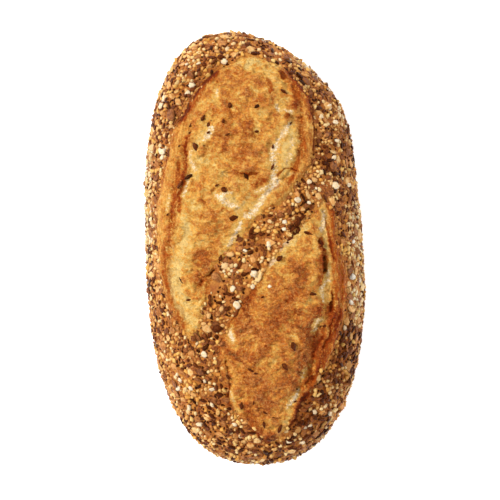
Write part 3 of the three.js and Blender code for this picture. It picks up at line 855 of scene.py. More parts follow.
# Painted shade in the thin furrows between the wrinkles, stronger where the dough is browner
dough_colour = blend_colours(tree, furrow_shade_share, dough_colour, (0.6, 0.39, 0.18, 1), "MULTIPLY")
dough_colour = blend_colours(tree, spots, dough_colour, (0.62, 0.38, 0.16, 1), "MULTIPLY")
dough_colour = blend_colours(tree, deep_spots, dough_colour, (0.58, 0.33, 0.12, 1), "MULTIPLY")

# The rolled lips: smooth, orange and gold, with long fine folds along the torn edge
folds = noise_over(tree, millimetres(tree, stretch=(0.8, 3.2, 1), turn=math.radians(6)), 2.0,
                   detail=5, roughness=0.6, distortion=0.6)
lip_colour = colour_ramp(tree, add_up(tree, 0.38, (folds, 0.46), (crumbs, 0.22), (blotches, 0.16)), [
    (0.0, as_seen(252, 196, 104)),
    (0.35, as_seen(236, 158, 68)),
    (0.6, as_seen(204, 108, 36)),
    (0.95, as_seen(130, 52, 10)),
])
lip_mask = fade(tree, add_up(tree, 0, (mask(tree, "lip"), 1), (streaks, 0.2)), 0.3, 1.0)
lip_mask = calculate(tree, "MULTIPLY", lip_mask, 0.6)
skin_colour = blend_colours(tree, lip_mask, dough_colour, lip_colour)
red_folds = noise_over(tree, millimetres(tree, stretch=(1.1, 5, 1), turn=math.radians(-4)), 2.2,
                       detail=4, roughness=0.6, distortion=0.8)
reddened = calculate(tree, "MULTIPLY", mask(tree, "reddened"), add_up(
    tree, 0.74, (red_folds, 0.55), (streaks, 0.3), (crumbs, 0.25)))
reddened = fade(tree, reddened, 0.0, 1.0)
skin_colour = blend_colours(tree, reddened, skin_colour, (0.57, 0.25, 0.12, 1), "MULTIPLY")
# Painted grey-green shade beside the lips, mixed with the crumb's own dull olive colour
dull = fade(tree, add_up(tree, 0, (mask(tree, "dull"), 1), (streaks, 0.25)), 0.2, 1.0)
skin_colour = blend_colours(tree, calculate(tree, "MULTIPLY", dull, 0.75), skin_colour,
                            as_seen(208, 162, 98))

# Late tears, where the crumb under the skin stayed pale, with a golden rim
torn = add_up(tree, -0.05, (mask(tree, "pale"), 1), (streaks, 0.34), (crumbs, 0.2))
rim = calculate(tree, "MULTIPLY", fade(tree, torn, 0.05, 0.5), 0.85)
skin_colour = blend_colours(tree, rim, skin_colour, as_seen(254, 200, 104))
pale_colour = colour_ramp(tree, add_up(tree, 0.5, (crumbs, 0.3), (streaks, 0.2)), [
    (0.1, (0.56, 0.3, 0.11, 1)),
    (0.5, (0.72, 0.53, 0.3, 1)),
    (0.85, (0.86, 0.74, 0.56, 1)),
])
pale_core = fade(tree, torn, 0.4, 0.95)
skin_colour = blend_colours(tree, pale_core, skin_colour, pale_colour)

# Painted fine shade and highlight all over the bare dough, standing in for light on its fine crackle
painted_fine_shading = noise_over(tree, place, 1.5, detail=4, roughness=0.8, distortion=1.0)
painted_fine_shading = calculate(tree, "MULTIPLY_ADD", painted_fine_shading, -0.3, 1.0)
skin_colour = blend_colours(tree, 1.0, skin_colour, painted_fine_shading, "MULTIPLY")

# Painted shade in the creases at the torn edges and in holes and grooves, with what the oven scorched
crease_shade = calculate(tree, "COMPARE", opened_mask, 0.8, 0.9)
scorch_and_shade = add_up(tree, 0, (mask(tree, "scorch_and_shade"), 1.05), (streaks, 0.24), (crumbs, 0.12),
                  (crease_shade, 0.32))
skin_colour = blend_colours(tree, fade(tree, scorch_and_shade, 0.05, 0.8), skin_colour,
                            (0.6, 0.3, 0.12, 1), "MULTIPLY")
skin_colour = blend_colours(tree, calculate(tree, "MULTIPLY", fade(tree, scorch_and_shade, 0.5, 1.3), 0.92),
                            skin_colour, as_seen(84, 28, 6))

# The crust between the grains: its own gold to brown, its dark browns also painted shade in the gaps
crust_with_gap_shade = colour_ramp(
    tree, add_up(tree, 0.44, (noise_over(tree, place, 3.4, detail=5, roughness=0.7), 0.3)), [
        (0.05, as_seen(252, 198, 108)),
        (0.3, as_seen(230, 148, 66)),
        (0.6, as_seen(192, 110, 56)),
        (0.9, as_seen(120, 54, 18)),
    ])
crust_edge = calculate(tree, "MULTIPLY_ADD", streaks, 1.0, opened_mask)
crust_edge = calculate(tree, "MULTIPLY_ADD", blotches, 1.2, crust_edge)
crust_share = calculate(tree, "SUBTRACT", 1.0, fade(tree, crust_edge, -1.6, 0.8))
skin_colour = blend_colours(tree, crust_share, skin_colour, crust_with_gap_shade)

oven = browned_by_oven(tree, crust_share)
skin_colour = blend_colours(tree, 1.0, skin_colour, oven.outputs["Tint"], "MULTIPLY")

# The underside, baked on the oven's stone: brown, with dark pits, and flour from the proving basket
base_colour = colour_ramp(tree, add_up(tree, 0.5, (blotches, 0.3), (streaks, 0.25), (crumbs, 0.1)), [
    (0.1, as_seen(210, 156, 94)),
    (0.5, as_seen(176, 116, 64)),
    (0.95, as_seen(108, 58, 26)),
])
pits = fade(tree, noise_over(tree, place, 5, detail=2, distortion=0.6), 0.8, 1.2)
base_colour = blend_colours(tree, pits, base_colour, as_seen(78, 36, 14))
flour = fade(tree, noise_over(tree, place, 15, detail=8, roughness=0.68), -0.3, 1.0)
flour = calculate(tree, "MULTIPLY", flour, 0.6)
base_colour = blend_colours(tree, flour, base_colour, as_seen(226, 200, 164))
skin_colour = blend_colours(tree, mask(tree, "underside"), skin_colour, base_colour)

roughness = calculate(tree, "MULTIPLY_ADD", lip_mask, -0.12, 0.55)
fine_bump = add_node(tree, "ShaderNodeBump", {"Height": crumbs, "Strength": 0.8, "Distance": 0.00025})
medium_bump = add_node(tree, "ShaderNodeBump", {
    "Height": calculate(tree, "SUBTRACT", calculate(tree, "ADD", streaks, wrinkles), furrows),
    "Strength": 0.6, "Distance": 0.0004,
    "Normal": fine_bump.outputs["Normal"]})
tree.links.new(skin_colour, shader.inputs["Base Color"])
tree.links.new(roughness, shader.inputs["Roughness"])
tree.links.new(medium_bump.outputs["Normal"], shader.inputs["Normal"])
shader.inputs["Specular IOR Level"].default_value = 0.1
shader.inputs["Specular Tint"].default_value = (1, 0.66, 0.36, 1)

loaf.data.materials.append(crust_material)
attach(loaf, "root")
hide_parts("seven_grain_loaf")


# Oat and bran flakes
# Rolled flat and curled a little by the heat, the largest things on the crust. The dough was
# rolled in the grain mix before it was proved, so everything in it is half sunk in the crust.
OAT_FLAKE = (5.6, 4.3, 1.4)
OAT_COUNT = 300

random = np.random.default_rng(7)
seated = {}
SEAT_CELL = 4.0
NEIGHBOUR_CELLS = [(i, j, k) for i in (-1, 0, 1) for j in (-1, 0, 1) for k in (-1, 0, 1)]
LOWEST_GRAIN = 2.2

# How the seeded crust ends at a torn edge: over what distance, and how raggedly
SEEDS_END = (-2.4, 1.0)
SEEDS_RAVEL = 3.6
SEEDS_RAVEL_SIZE = 4

# Where the crust has fewer grains: the dough at the near end of the upper slash, and small spots
BARE_PATCHES = [(-23, -20, 10), (-29, -24, 6), (-17, -30, 5)]
BARE_SPOT_SIZE = 7
BARE_SPOT_SHARE = 0.25
BARENESS = 0.93

# Each kind lies thick and thin in patches. Dark grains share theirs, and there are more of them
# where the oven browned the crust
PATCH_SIZE = 12
PATCHINESS = 3.2
DARK_GRAINS = 3
DARKER_MIX = 1.7
PALER_HUSKS = 1.2
TRIES_FOR_EACH = 14

# Grains that stand out in the photo are put at listed places, a little larger and higher than the rest
MARK_LIFT = 0.55
MARK_SHARE = 1.1

# How unlike each other the grains of one kind are: the spread of their sizes, and of how much shows
GROWTH_SPREAD = 0.16
LEAST_GROWTH = 0.6
MOST_GROWTH = 1.5
SHOWS_SPREAD = 0.14

# The solid loaf carries the largest grains: one by one along a sequence that spreads them evenly,
# clear of the torn edges, the tips and the oven floor, with a few in the risen dough
LARGEST_GRAINS = 152
LARGEST_SHARE = 1.05
PLASTIC_NUMBER = 1.3247179572447458
GOLDEN_RATIO = (1 + math.sqrt(5)) / 2
END_MARGIN = 0.985
LOWEST_TURN = 0.5
EDGE_MARGIN = 3
LOWEST_LARGEST = 7
DOUGH_MARGIN = 13
DOUGH_GRAINS_SHARE = 0.16
CRUST_KINDS = 4
LARGEST_OAT, LARGEST_FLAX, LARGEST_RYE, LARGEST_MILLET, LARGEST_IN_DOUGH = range(5)

loaf.data.calc_loop_triangles()
skin_places = places_of(loaf)
skin_outs = vertex_normals(loaf)
facets = np.empty(len(loaf.data.loop_triangles) * 3, int)
loaf.data.loop_triangles.foreach_get("vertices", facets)
facets = facets.reshape(-1, 3)
ragged = opened + SEEDS_RAVEL * unevenness(points, SEEDS_RAVEL_SIZE, 3.7)
seeding = np.where(above_waist > 0, 1 - smoothstep(ragged, *SEEDS_END), 1)
seeding = seeding * smoothstep(z, LOWEST_GRAIN, LOWEST_GRAIN + 4)
for bare_x, bare_y, radius in BARE_PATCHES:
    seeding = seeding * (1 - BARENESS * bell(np.hypot(x - bare_x, y - bare_y) / radius))
facets = facets[seeding[facets].sum(axis=1) > 0]
corners = skin_places[facets]
facet_middles = corners.mean(axis=1)
facet_areas = np.linalg.norm(
    np.cross(corners[:, 1] - corners[:, 0], corners[:, 2] - corners[:, 0]), axis=1) / 2
facet_browning = oven_browned(facet_middles)
covered = smoothstep(unevenness(facet_middles, BARE_SPOT_SIZE, 6.6), -0.45, 0.0)
facet_seeding = seeding[facets].mean(axis=1) * facet_areas
facet_seeding = facet_seeding * (BARE_SPOT_SHARE + (1 - BARE_SPOT_SHARE) * covered)


def is_free(place, radius, tightness):
    cell = tuple(np.floor(place / SEAT_CELL).astype(int))
    for i, j, k in NEIGHBOUR_CELLS:
        for px, py, pz, other in seated.get((cell[0] + i, cell[1] + j, cell[2] + k), ()):
            reach = tightness * (radius + other)
            if (px - place[0]) ** 2 + (py - place[1]) ** 2 + (pz - place[2]) ** 2 < reach * reach:
                return False
    return True


def take_seat(place, radius):
    cell = tuple(np.floor(place / SEAT_CELL).astype(int))
    seated.setdefault(cell, []).append((place[0], place[1], place[2], radius))


def find_seats(count, size, tightness, patch):
    """Places on the crust for grains of that size, each with the way out there and a heading;
    grains with the same patch number lie thick and thin in the same spots"""
    radius = (size[0] + size[1]) / 4
    thickness = np.exp(PATCHINESS * unevenness(facet_middles, PATCH_SIZE, 20 * patch))
    if patch == DARK_GRAINS:
        thickness = thickness * np.exp(DARKER_MIX * facet_browning.clip(0))
    weights = facet_seeding * thickness
    tries = count * TRIES_FOR_EACH
    chosen = random.choice(len(facets), size=tries, p=weights / weights.sum())
    shares = random.dirichlet((1, 1, 1), size=tries)
    spots = np.einsum("ij,ijk->ik", shares, corners[chosen])
    seats = []
    for facet, spot in zip(chosen, spots):
        if is_free(spot, radius, tightness):
            take_seat(spot, radius)
            way = skin_outs[facets[facet]].mean(axis=0)
            seats.append((spot, way, random.uniform(0, 360), 1, random.random()))
            if len(seats) == count:
                break
    return seats


def seats_at(marks, size, tone):
    """Seats for grains that stand out in the photo: x, y, heading in degrees, share of the size"""
    seats = []
    for mark_x, mark_y, heading, share in marks:
        share *= MARK_SHARE
        away = np.hypot(skin_places[:, 0] - mark_x, skin_places[:, 1] - mark_y)
        nearest = np.argmin(np.where(skin_places[:, 2] > WAIST_HEIGHT, away, np.inf))
        take_seat(skin_places[nearest], share * (size[0] + size[1]) / 4)
        way = outward(skin_places[nearest:nearest + 1])[0]
        seats.append((skin_places[nearest] + MARK_LIFT * way, way, heading, share, tone))
    return seats


def largest_seats(kind, size):
    """Seats of the largest grains of one kind, about where the solid loaf has them"""
    seats = []
    count = 0
    step = 0
    while count < LARGEST_GRAINS:
        step += 1
        along = np.array([END_MARGIN * (2 * (step / PLASTIC_NUMBER % 1) - 1)])
        turn_share = step / PLASTIC_NUMBER ** 2 % 1
        turn = np.array([-LOWEST_TURN + (math.pi + 2 * LOWEST_TURN) * turn_share])
        share = step / GOLDEN_RATIO % 1
        place = plain_point(along, turn)
        depth = max(depth_inside(edge, place[:, 0], place[:, 1])[0] for edge in edges)
        on_crust = (depth < -EDGE_MARGIN and place[0, 2] > LOWEST_LARGEST
                    and share < superellipse(along, NEAR_ROUNDNESS)[0])
        in_dough = (depth > DOUGH_MARGIN and place[0, 2] > WAIST_HEIGHT
                    and share < DOUGH_GRAINS_SHARE)
        if not (on_crust or in_dough):
            continue
        if (LARGEST_IN_DOUGH if in_dough else count % CRUST_KINDS) == kind:
            nearest = np.argmin(((skin_places - place) ** 2).sum(axis=1))
            take_seat(skin_places[nearest], (size[0] + size[1]) / 4)
            heading = 360 * (step * math.sqrt(2) % 1)
            spot = skin_places[nearest] + (MARK_LIFT if in_dough else 0) * skin_outs[nearest]
            seats.append((spot, skin_outs[nearest], heading, LARGEST_SHARE, share))
        count += 1
    return seats


def size_grain(size):
    """Gives the round grain or cube that was just added its size, and opens it for editing"""
    bpy.ops.object.transform_apply(location=False, rotation=True, scale=False)
    bpy.context.object.scale = size
    bpy.ops.object.transform_apply(location=False, rotation=False, scale=True)
    bpy.ops.object.mode_set(mode="EDIT")


def take_shape():
    """The corners in millimetres and the faces of the grain in edit mode, whose object then goes"""
    bpy.ops.object.mode_set(mode="OBJECT")
    base = bpy.context.object
    places = places_of(base)
    faces = [face.vertices for face in base.data.polygons]
    shape = renumber(places, faces, np.lexsort(np.round(places, 3).T))
    bpy.data.objects.remove(base)
    return shape


def choose_corners(test):
    """Selects the corners of the grain in edit mode whose place, in millimetres, passes"""
    shape = bmesh.from_edit_mesh(bpy.context.object.data)
    for face in shape.faces:
        face.select = False
    for edge in shape.edges:
        edge.select = False
    for corner in shape.verts:
        corner.select = bool(test(*(corner.co / MM)))
    shape.select_flush(True)
    bmesh.update_edit_mesh(bpy.context.object.data)


def sow(name, shape, size, seats, shows, tilt, knobbly=0.05):
    """One mesh of grains on their seats, each turned, tilted, sized and shaped a little differently"""
    base_places, base_faces = shape
    all_places = []
    all_faces = []
    tones = []
    offset = 0
    for spot, way, heading, share, tone in seats:
        growth = random.normal(1, GROWTH_SPREAD, 3).clip(LEAST_GROWTH, MOST_GROWTH) * share
        dents = random.normal(0, knobbly, base_places.shape) * size
        way = way / np.linalg.norm(way)
        way = way + tilt * random.normal(0, 1, 3)
        way = way / np.linalg.norm(way)
        heading = math.radians(heading)
        side = np.cross(way, (math.cos(heading), math.sin(heading), 0.1))
        side = side / np.linalg.norm(side)
        turned = np.stack([np.cross(side, way), side, way])
        lift = (shows + random.normal(0, SHOWS_SPREAD) - 0.5) * size[2] * share
        all_places.append(((base_places + dents) * growth) @ turned + spot + way * lift)
        all_faces += [tuple(corner + offset for corner in face) for face in base_faces]
        tones.append(tone)
        offset += len(base_places)
    mesh = bpy.data.meshes.new(name)
    all_places = np.vstack(all_places)
    all_places[:, 2] = np.maximum(all_places[:, 2], 0)
    mesh.from_pydata((all_places * MM).tolist(), [], all_faces)
    mesh.shade_smooth()
    grains = bpy.data.objects.new(name, mesh)
    bpy.context.scene.collection.objects.link(grains)
    browning = oven_browned(np.array([spot for spot, *_ in seats]))
    tones = np.array(tones) + PALER_HUSKS * (-browning).clip(0)
    write_mask(grains, "tone", np.repeat(tones, len(base_places)))
    write_mask(grains, "browning", np.repeat(browning, len(base_places)))
    return grains


def grain_material(name, tones, roughness, speck_size, speck_strength, browning=1.0,
                   shine=(1, 0.7, 0.4, 1)):
    """A grain's husk: each grain has its own tone, with fine mottling and the oven's browning"""
    material, tree, shader = new_material(name)
    place = millimetres(tree)
    mottle = noise_over(tree, place, speck_size, detail=4, roughness=0.6)
    tone = add_up(tree, 0, (mask(tree, "tone"), 1), (mottle, speck_strength))
    oven = browned_by_oven(tree, browning)
    colour = blend_colours(tree, 1.0, colour_ramp(tree, tone, tones), oven.outputs["Tint"], "MULTIPLY")
    bump = add_node(tree, "ShaderNodeBump", {
        "Height": noise_over(tree, place, speck_size / 2, detail=3),
        "Strength": 0.4,
        "Distance": 0.00008,
    })
    tree.links.new(colour, shader.inputs["Base Color"])
    tree.links.new(calculate(tree, "MULTIPLY_ADD", mottle, 0.06, roughness), shader.inputs["Roughness"])
    tree.links.new(bump.outputs["Normal"], shader.inputs["Normal"])
    shader.inputs["Specular IOR Level"].default_value = 0.18
    shader.inputs["Specular Tint"].default_value = shine
    return material


def finish_grains(grains, material):
    grains.data.materials.append(material)
    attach(grains, "root")


OAT_MARKS = [
    (-43, 75.5, -48, 1.25), (-31, 98.5, 75, 1.0), (-34.5, -48, -35, 1.0), (46, 44, 50, 1.1),
    (54.5, 52, 80, 1.2),
]
bpy.ops.object.select_all(action="DESELECT")
bpy.ops.mesh.primitive_uv_sphere_add(segments=10, ring_count=5, radius=0.5 * MM)
size_grain(OAT_FLAKE)
choose_corners(lambda x, y, z: abs(y) < 0.7 and z > 0.1)
bpy.ops.transform.translate(value=(0, 0, -0.45 * MM))
choose_corners(lambda x, y, z: x > 1.2)
bpy.ops.transform.resize(value=(1, 0.75, 0.8), center_override=(0, 0, 0))
choose_corners(lambda x, y, z: abs(x) > 2.2)
bpy.ops.transform.translate(value=(0, 0, 0.35 * MM))
flake_shape = take_shape()
oat_seats = seats_at(OAT_MARKS, OAT_FLAKE, 0.2) + largest_seats(LARGEST_OAT, OAT_FLAKE)
oat_seats += find_seats(OAT_COUNT, OAT_FLAKE, 0.85, 1)
oats = sow("oat_flakes", flake_shape, OAT_FLAKE, oat_seats, 0.55, 0.24)
finish_grains(oats, grain_material("oat_husk", [
    (0.0, as_seen(112, 58, 30)),
    (0.25, as_seen(166, 100, 52)),
    (0.6, as_seen(222, 152, 84)),
    (0.85, as_seen(246, 190, 116)),
    (1.0, as_seen(252, 212, 148)),
], 0.5, 1.4, 0.24))


# Cracked rye and wheat
# Kernels broken in a mill, so each has a few flat fractured faces and sharp edges. The bran on
# them is a dull red-brown, and the kernel inside is paler.
RYE_CHIP = (3.8, 2.6, 1.8)
RYE_COUNT = 700
RYE_MARKS = [
    (-21.5, -15.5, 75, 1.6), (-8.5, -22, -12, 1.3), (-36, -48.6, -30, 1.0), (-16.6, -5.6, 60, 1.0),
    (-20, -52, 80, 1.2), (-29.6, -66, 20, 0.9), (14, 18, 40, 1.1), (30, 22, 30, 1.0),
]
bpy.ops.object.select_all(action="DESELECT")
bpy.ops.mesh.primitive_ico_sphere_add(subdivisions=2, radius=0.5 * MM)
size_grain(RYE_CHIP)
for cut, way in (((1.1, 0, 0), (1, 0.4, 0.3)), ((0, 0.8, 0.2), (0.2, 1, 0.7)),
                 ((-0.9, -0.4, 0.2), (-0.7, -0.6, 0.5))):
    bpy.ops.mesh.select_all(action="SELECT")
    bpy.ops.mesh.bisect(plane_co=[part * MM for part in cut], plane_no=way, use_fill=True,
                        clear_outer=True)
chip_shape = take_shape()
rye_seats = seats_at(RYE_MARKS, RYE_CHIP, 0.42) + largest_seats(LARGEST_RYE, RYE_CHIP)
rye_seats += find_seats(RYE_COUNT, RYE_CHIP, 0.78, 2)
rye = sow("cracked_rye", chip_shape, RYE_CHIP, rye_seats, 0.5, 0.45, 0.06)
bpy.ops.object.select_all(action="DESELECT")
bpy.context.view_layer.objects.active = rye
rye.select_set(True)
bpy.ops.object.shade_smooth_by_angle(angle=math.radians(35))
finish_grains(rye, grain_material("rye_bran", [
    (0.0, as_seen(76, 32, 12)),
    (0.3, as_seen(134, 72, 38)),
    (0.55, as_seen(176, 108, 58)),
    (0.8, as_seen(220, 156, 86)),
    (1.0, as_seen(248, 200, 122)),
], 0.5, 1.1, 0.24, 0.8, (1, 0.5, 0.25, 1)))


# Flax seeds
# Flat, smooth drops with a point at one end, dark brown and the shiniest of the grains. They are
# in the dough as well, so some of them lie in the skin of what rose through the slashes.
FLAX_SEED = (4.5, 2.3, 1.4)
FLAX_COUNT = 520
FLAX_MARKS = [
    (-25, 72.5, 62, 1.1), (-22, 69.5, 58, 0.9), (-10, 79, 95, 1.05), (-14, 70.5, 100, 0.75),
    (-32.5, 69.5, 70, 0.5), (-33, 65, 50, 0.4), (-22.6, 64.5, 30, 0.45),
    (-30, 57, -68, 1.15), (-39, 58, 30, 0.4), (-12, 63, 20, 0.6), (-25.5, 57.2, 10, 0.4),
    (-19.3, 35.2, 20, 0.5), (-15, 32.6, -50, 1.0), (-10.5, 17, 8, 0.95), (-47, 20.3, 30, 0.5),
    (-9, 7, 80, 0.5), (20, 86.2, -32, 0.95), (23, 68, 60, 0.4), (12.3, 55, 75, 0.6),
    (11.6, 44.2, 60, 0.75), (4, 64, 30, 0.6), (30, 6.6, -12, 1.0), (13.5, -6.6, 28, 1.1),
    (3, -27.2, 30, 0.55), (30.6, -26.8, -5, 0.95), (19, -55.4, -72, 1.2), (14, -66.4, -58, 1.1),
    (-5, -67.4, -38, 0.85), (-2.4, -69.2, 10, 0.5), (-11, -87.6, 82, 1.0), (-4.6, -85.6, 80, 0.6),
    (2, -92, -30, 0.6), (6, -94.8, 0, 0.3), (0.8, -99, -75, 0.75), (9.6, -101.6, 68, 0.85),
    (18.6, -86.4, 30, 0.5), (20, -79.4, -20, 0.5), (36.4, -45, 30, 0.55), (34.4, -45.6, 60, 0.5),
    (-37.6, -27.4, 10, 0.55), (-18, -71, -60, 1.0), (4, -108, -30, 0.9), (36.4, 1.6, 60, 0.5),
    (24, 12, 58, 1.1), (26.4, 15.8, 30, 0.8), (21.4, 9.2, 45, 0.9), (-10, -11.4, 0, 0.6),
    (0, 9.4, 60, 1.0), (-2, 6.2, 50, 0.9), (-23, -44, 20, 1.15), (-20.6, -44.6, 0, 0.8),
    (-26.4, -46.2, 60, 0.8), (-26, -26.4, -84, 0.9), (-25.6, -30.4, -88, 0.8),
    (-28, -32.6, 0, 0.6), (-15.6, -33.2, 40, 0.8), (-13, -24.6, 40, 0.6), (-11.4, -28, 0, 0.6),
    (-34.6, 86.6, 50, 0.8), (-17.6, 104.6, 40, 0.8),
    (-14.4, 107.8, 0, 0.9), (-12.4, 114, 0, 0.7), (25, 97, 30, 0.8), (45.4, 91.4, 20, 1.0),
    (40, 25.4, -30, 1.1), (47.4, 17, 30, 0.9), (56, 25, -60, 0.9), (53.4, 3, 0, 0.8),
    (-39, 36.8, 60, 0.9), (9.6, 16.8, 0, 0.7), (-18.8, -5, 70, 0.9),
]
bpy.ops.object.select_all(action="DESELECT")
bpy.ops.mesh.primitive_uv_sphere_add(segments=8, ring_count=6, radius=0.5 * MM,
                                     rotation=(0, math.pi / 2, 0))
size_grain(FLAX_SEED)
choose_corners(lambda x, y, z: 0.5 < x < 2.1)
bpy.ops.transform.resize(value=(1, 0.72, 0.8), center_override=(0, 0, 0))
flax_shape = take_shape()
flax_seats = seats_at(FLAX_MARKS, FLAX_SEED, 0.55) + largest_seats(LARGEST_FLAX, FLAX_SEED)
flax_seats += largest_seats(LARGEST_IN_DOUGH, FLAX_SEED)
flax_seats += find_seats(FLAX_COUNT, FLAX_SEED, 0.75, DARK_GRAINS)
flax = sow("flax_seeds", flax_shape, FLAX_SEED, flax_seats, 0.6, 0.2, 0.03)
finish_grains(flax, grain_material("flax_coat", [
    (0.0, as_seen(48, 14, 0)),
    (0.5, as_seen(76, 28, 6)),
    (0.8, as_seen(116, 56, 24)),
    (1.0, as_seen(156, 92, 50)),
], 0.4, 1.0, 0.24, 0.3, (1, 0.4, 0.12, 1)))


# Pearl barley
# Hulled kernels cut small: the palest and some of the largest grains, cream to white, blunt, with
# the kernel's crease along one side.
BARLEY_PEARL = (3.4, 2.7, 1.9)
BARLEY_COUNT = 130
BARLEY_MARKS = [
    (8.4, 2.2, 0, 1.15), (-5.4, -2, 10, 0.9), (-1, -14.6, 70, 1.3), (-13.5, -21.4, 60, 0.9),
    (-11.4, -32, -50, 1.15), (-30, -57.6, 25, 1.15), (25.4, 25.6, -30, 1.15), (46.4, 33, 30, 1.3),
    (-31, 92.4, 80, 1.3), (-47.6, 86.4, 70, 1.1), (-48.6, 82.6, -30, 1.1), (-49, 57, 85, 1.5),
    (-49, 52.6, 80, 1.0), (15.8, 9.6, 0, 0.7), (46.6, 48, 50, 1.1), (45.4, 77, 60, 1.1),
    (48, 69, 20, 0.85), (40, 71, 50, 0.75), (-12, 105, -10, 1.15), (-26.6, 104.6, 30, 0.8),
    (54.4, 32.6, 20, 0.9), (54, -18.4, 0, 1.1), (52.4, -33, -30, 1.1), (48.6, -47, 30, 0.8),
    (15, -110, -15, 1.2), (22.4, -111.6, 0, 0.9), (38, -95.6, -10, 1.0), (48.6, 57.4, 0, 0.8),
    (-33, 105.4, 10, 0.7), (-33.4, 88.6, 20, 0.85), (31.4, 24, 0, 0.7), (35.6, 32, 0, 0.6),
    (-2.2, -20.4, 10, 0.8), (7.6, -21.4, 40, 0.6), (24.6, -101.8, 0, 0.7), (26.8, -101.2, 0, 0.7),
    (-27.6, -86, 0, 1.0), (-26.6, -77.4, 0, 0.9), (-30.8, -73, 0, 0.75), (-40, -88, 0, 1.0),
    (-34.4, -97.6, 0, 0.9), (-14.6, -97.6, 0, 0.75),
]
CREAM_MARKS = [
    (-16.6, -9.6, 0, 1.2), (-13.2, -3.4, 85, 1.15), (-26.6, -35.6, 70, 1.15), (34.6, 36.4, -10, 1.2),
    (-12.6, -8.8, 0, 0.7), (-19, -33.6, 60, 0.8), (-29.6, -41, 0, 0.8), (-20, -41.8, -20, 0.75),
]
bpy.ops.object.select_all(action="DESELECT")
bpy.ops.mesh.primitive_uv_sphere_add(segments=8, ring_count=6, radius=0.5 * MM,
                                     rotation=(0, math.pi / 2, 0))
size_grain(BARLEY_PEARL)
choose_corners(lambda x, y, z: abs(y) < 0.3 and z > 0.3)
bpy.ops.transform.translate(value=(0, 0, -0.35 * MM))
choose_corners(lambda x, y, z: x > 1.2)
bpy.ops.transform.translate(value=(-0.35 * MM, 0, 0))
pearl_shape = take_shape()
barley_seats = seats_at(BARLEY_MARKS, BARLEY_PEARL, 0.9) + seats_at(CREAM_MARKS, BARLEY_PEARL, 0.35)
barley_seats += find_seats(BARLEY_COUNT, BARLEY_PEARL, 0.8, 4)
barley = sow("pearl_barley", pearl_shape, BARLEY_PEARL, barley_seats, 0.5, 0.3, 0.07)
finish_grains(barley, grain_material("barley_pearl", [
    (0.0, as_seen(214, 152, 84)),
    (0.4, as_seen(242, 187, 118)),
    (0.75, as_seen(252, 214, 154)),
    (1.0, as_seen(255, 238, 208)),
], 0.5, 0.9, 0.2, 0.55))


# Maize grits
# Hard yellow crumbs of maize, broken in a mill and sieved, with blunt corners. They lie with the
# barley in the mix, so both are thick and thin in the same patches.
MAIZE_GRIT = (2.7, 2.2, 1.7)
MAIZE_COUNT = 650
bpy.ops.object.select_all(action="DESELECT")
bpy.ops.mesh.primitive_cube_add(size=MM)
size_grain(MAIZE_GRIT)
bpy.ops.mesh.select_all(action="SELECT")
bpy.ops.mesh.bevel(offset=0.42 * MM, segments=1, affect="EDGES")
choose_corners(lambda x, y, z: x > 0.7)
bpy.ops.transform.resize(value=(1, 0.7, 0.75), center_override=(0, 0, 0))
choose_corners(lambda x, y, z: y > 0.5)
bpy.ops.transform.translate(value=(0.3 * MM, 0, -0.2 * MM))
grit_shape = take_shape()
maize_seats = find_seats(MAIZE_COUNT, MAIZE_GRIT, 0.8, 4)
maize = sow("maize_grits", grit_shape, MAIZE_GRIT, maize_seats, 0.55, 0.6, 0.08)
finish_grains(maize, grain_material("maize", [
    (0.0, as_seen(214, 136, 58)),
    (0.4, as_seen(240, 174, 82)),
    (0.75, as_seen(252, 202, 114)),
    (1.0, as_seen(255, 222, 162)),
], 0.45, 0.8, 0.16, 0.6))


# Millet
# Whole round grains with a shiny husk, cream to yellow, each with a small flat spot where it grew
# on its stalk. There are more of them than of any other whole grain but poppy.
MILLET_GRAIN = (2.2, 2.0, 1.8)
MILLET_COUNT = 1400
bpy.ops.object.select_all(action="DESELECT")
bpy.ops.mesh.primitive_uv_sphere_add(segments=8, ring_count=6, radius=0.5 * MM)
size_grain(MILLET_GRAIN)
choose_corners(lambda x, y, z: x > 0.8)
bpy.ops.transform.translate(value=(-0.2 * MM, 0, 0))
millet_shape = take_shape()
millet_seats = largest_seats(LARGEST_MILLET, MILLET_GRAIN)
millet_seats += find_seats(MILLET_COUNT, MILLET_GRAIN, 0.8, 5)
millet = sow("millet", millet_shape, MILLET_GRAIN, millet_seats, 0.55, 0.6, 0.05)
finish_grains(millet, grain_material("millet_husk", [
    (0.0, as_seen(190, 117, 58)),
    (0.3, as_seen(230, 161, 82)),
    (0.65, as_seen(250, 196, 116)),
    (1.0, as_seen(255, 224, 166)),
], 0.4, 0.7, 0.2, 0.65))


# Poppy and black sesame
# The smallest whole seeds, almost black, kidney shaped and dull. They fill the gaps between the
# rest, most of them where the flax is.
POPPY_SEED = (1.7, 1.4, 1.1)
POPPY_COUNT = 1550
bpy.ops.object.select_all(action="DESELECT")
bpy.ops.mesh.primitive_uv_sphere_add(segments=7, ring_count=5, radius=0.5 * MM)
size_grain(POPPY_SEED)
choose_corners(lambda x, y, z: y < -0.4 and abs(x) < 0.4)
bpy.ops.transform.translate(value=(0, 0.2 * MM, 0))
poppy_shape = take_shape()
poppy_seats = find_seats(POPPY_COUNT, POPPY_SEED, 0.8, DARK_GRAINS)
poppy = sow("poppy_seeds", poppy_shape, POPPY_SEED, poppy_seats, 0.62, 0.6)
finish_grains(poppy, grain_material("poppy_coat", [
    (0.0, as_seen(48, 14, 0)),
    (0.6, as_seen(78, 30, 6)),
    (1.0, as_seen(124, 64, 28)),
], 0.5, 0.5, 0.14, 0.3, (1, 0.4, 0.12, 1)))


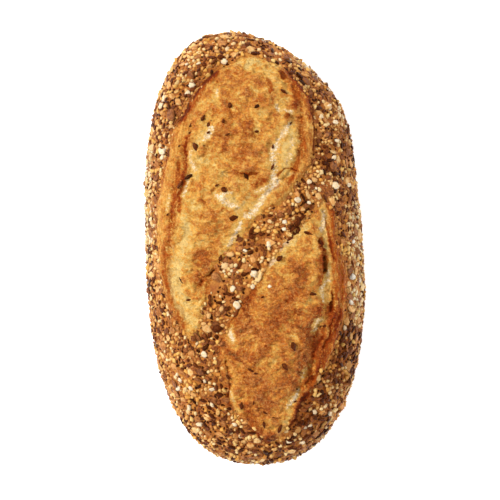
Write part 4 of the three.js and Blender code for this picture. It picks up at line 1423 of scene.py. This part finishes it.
# Bran and meal
# Crumbs of bran and cracked grain, from dark brown to pale gold, that fill the gaps between the
# larger grains, so that little of the crust itself shows.
BRAN_CRUMB = (2.0, 1.4, 0.9)
BRAN_COUNT = 4600
bpy.ops.object.select_all(action="DESELECT")
bpy.ops.mesh.primitive_ico_sphere_add(subdivisions=1, radius=0.5 * MM)
size_grain(BRAN_CRUMB)
choose_corners(lambda x, y, z: x > 0.5)
bpy.ops.transform.translate(value=(0.15 * MM, 0.1 * MM, 0.2 * MM))
choose_corners(lambda x, y, z: y < -0.4)
bpy.ops.transform.resize(value=(0.7, 1, 0.7), center_override=(0, 0, 0))
crumb_shape = take_shape()
bran_seats = find_seats(BRAN_COUNT, BRAN_CRUMB, 0.72, 6)
bran = sow("bran_and_meal", crumb_shape, BRAN_CRUMB, bran_seats, 0.5, 0.5, 0.14)
finish_grains(bran, grain_material("bran_and_meal", [
    (0.0, as_seen(84, 34, 10)),
    (0.3, as_seen(154, 86, 48)),
    (0.6, as_seen(204, 125, 72)),
    (0.85, as_seen(244, 181, 100)),
    (1.0, as_seen(255, 216, 150)),
], 0.5, 0.6, 0.2, 0.8))


# Floor and light
# A white table top that glows a little, as a light table does, under white, nearly shadowless
# light from the left and a weak one from low on the right, as for a picture cut out on white.
bpy.ops.object.select_all(action="DESELECT")
bpy.ops.mesh.primitive_plane_add(size=30, location=(0, 0, -0.0002))
floor = bpy.context.object
floor.name = "floor"
floor_material, tree, shader = new_material("white_table")
shader.inputs["Base Color"].default_value = (0.9, 0.9, 0.9, 1)
shader.inputs["Roughness"].default_value = 0.9
shader.inputs["Specular IOR Level"].default_value = 0.1
shader.inputs["Emission Color"].default_value = (1, 1, 1, 1)
shader.inputs["Emission Strength"].default_value = 0.4
floor.data.materials.append(floor_material)

world = bpy.data.worlds.new("studio")
world.use_nodes = True
world.node_tree.nodes["Background"].inputs["Color"].default_value = (1, 1, 1, 1)
world.node_tree.nodes["Background"].inputs["Strength"].default_value = 0.85
bpy.context.scene.world = world

sun_data = bpy.data.lights.new("soft_key", "SUN")
sun_data.energy = 3.9
sun_data.angle = math.radians(14)
sun = bpy.data.objects.new("soft_key", sun_data)
sun.rotation_euler = (math.radians(-15), math.radians(-42), 0)
bpy.context.scene.collection.objects.link(sun)

fill_data = bpy.data.lights.new("low_fill", "SUN")
fill_data.energy = 1.3
fill_data.angle = math.radians(60)
fill = bpy.data.objects.new("low_fill", fill_data)
fill.rotation_euler = (0, math.radians(68), 0)
bpy.context.scene.collection.objects.link(fill)

bpy.context.scene.view_settings.view_transform = "Standard"
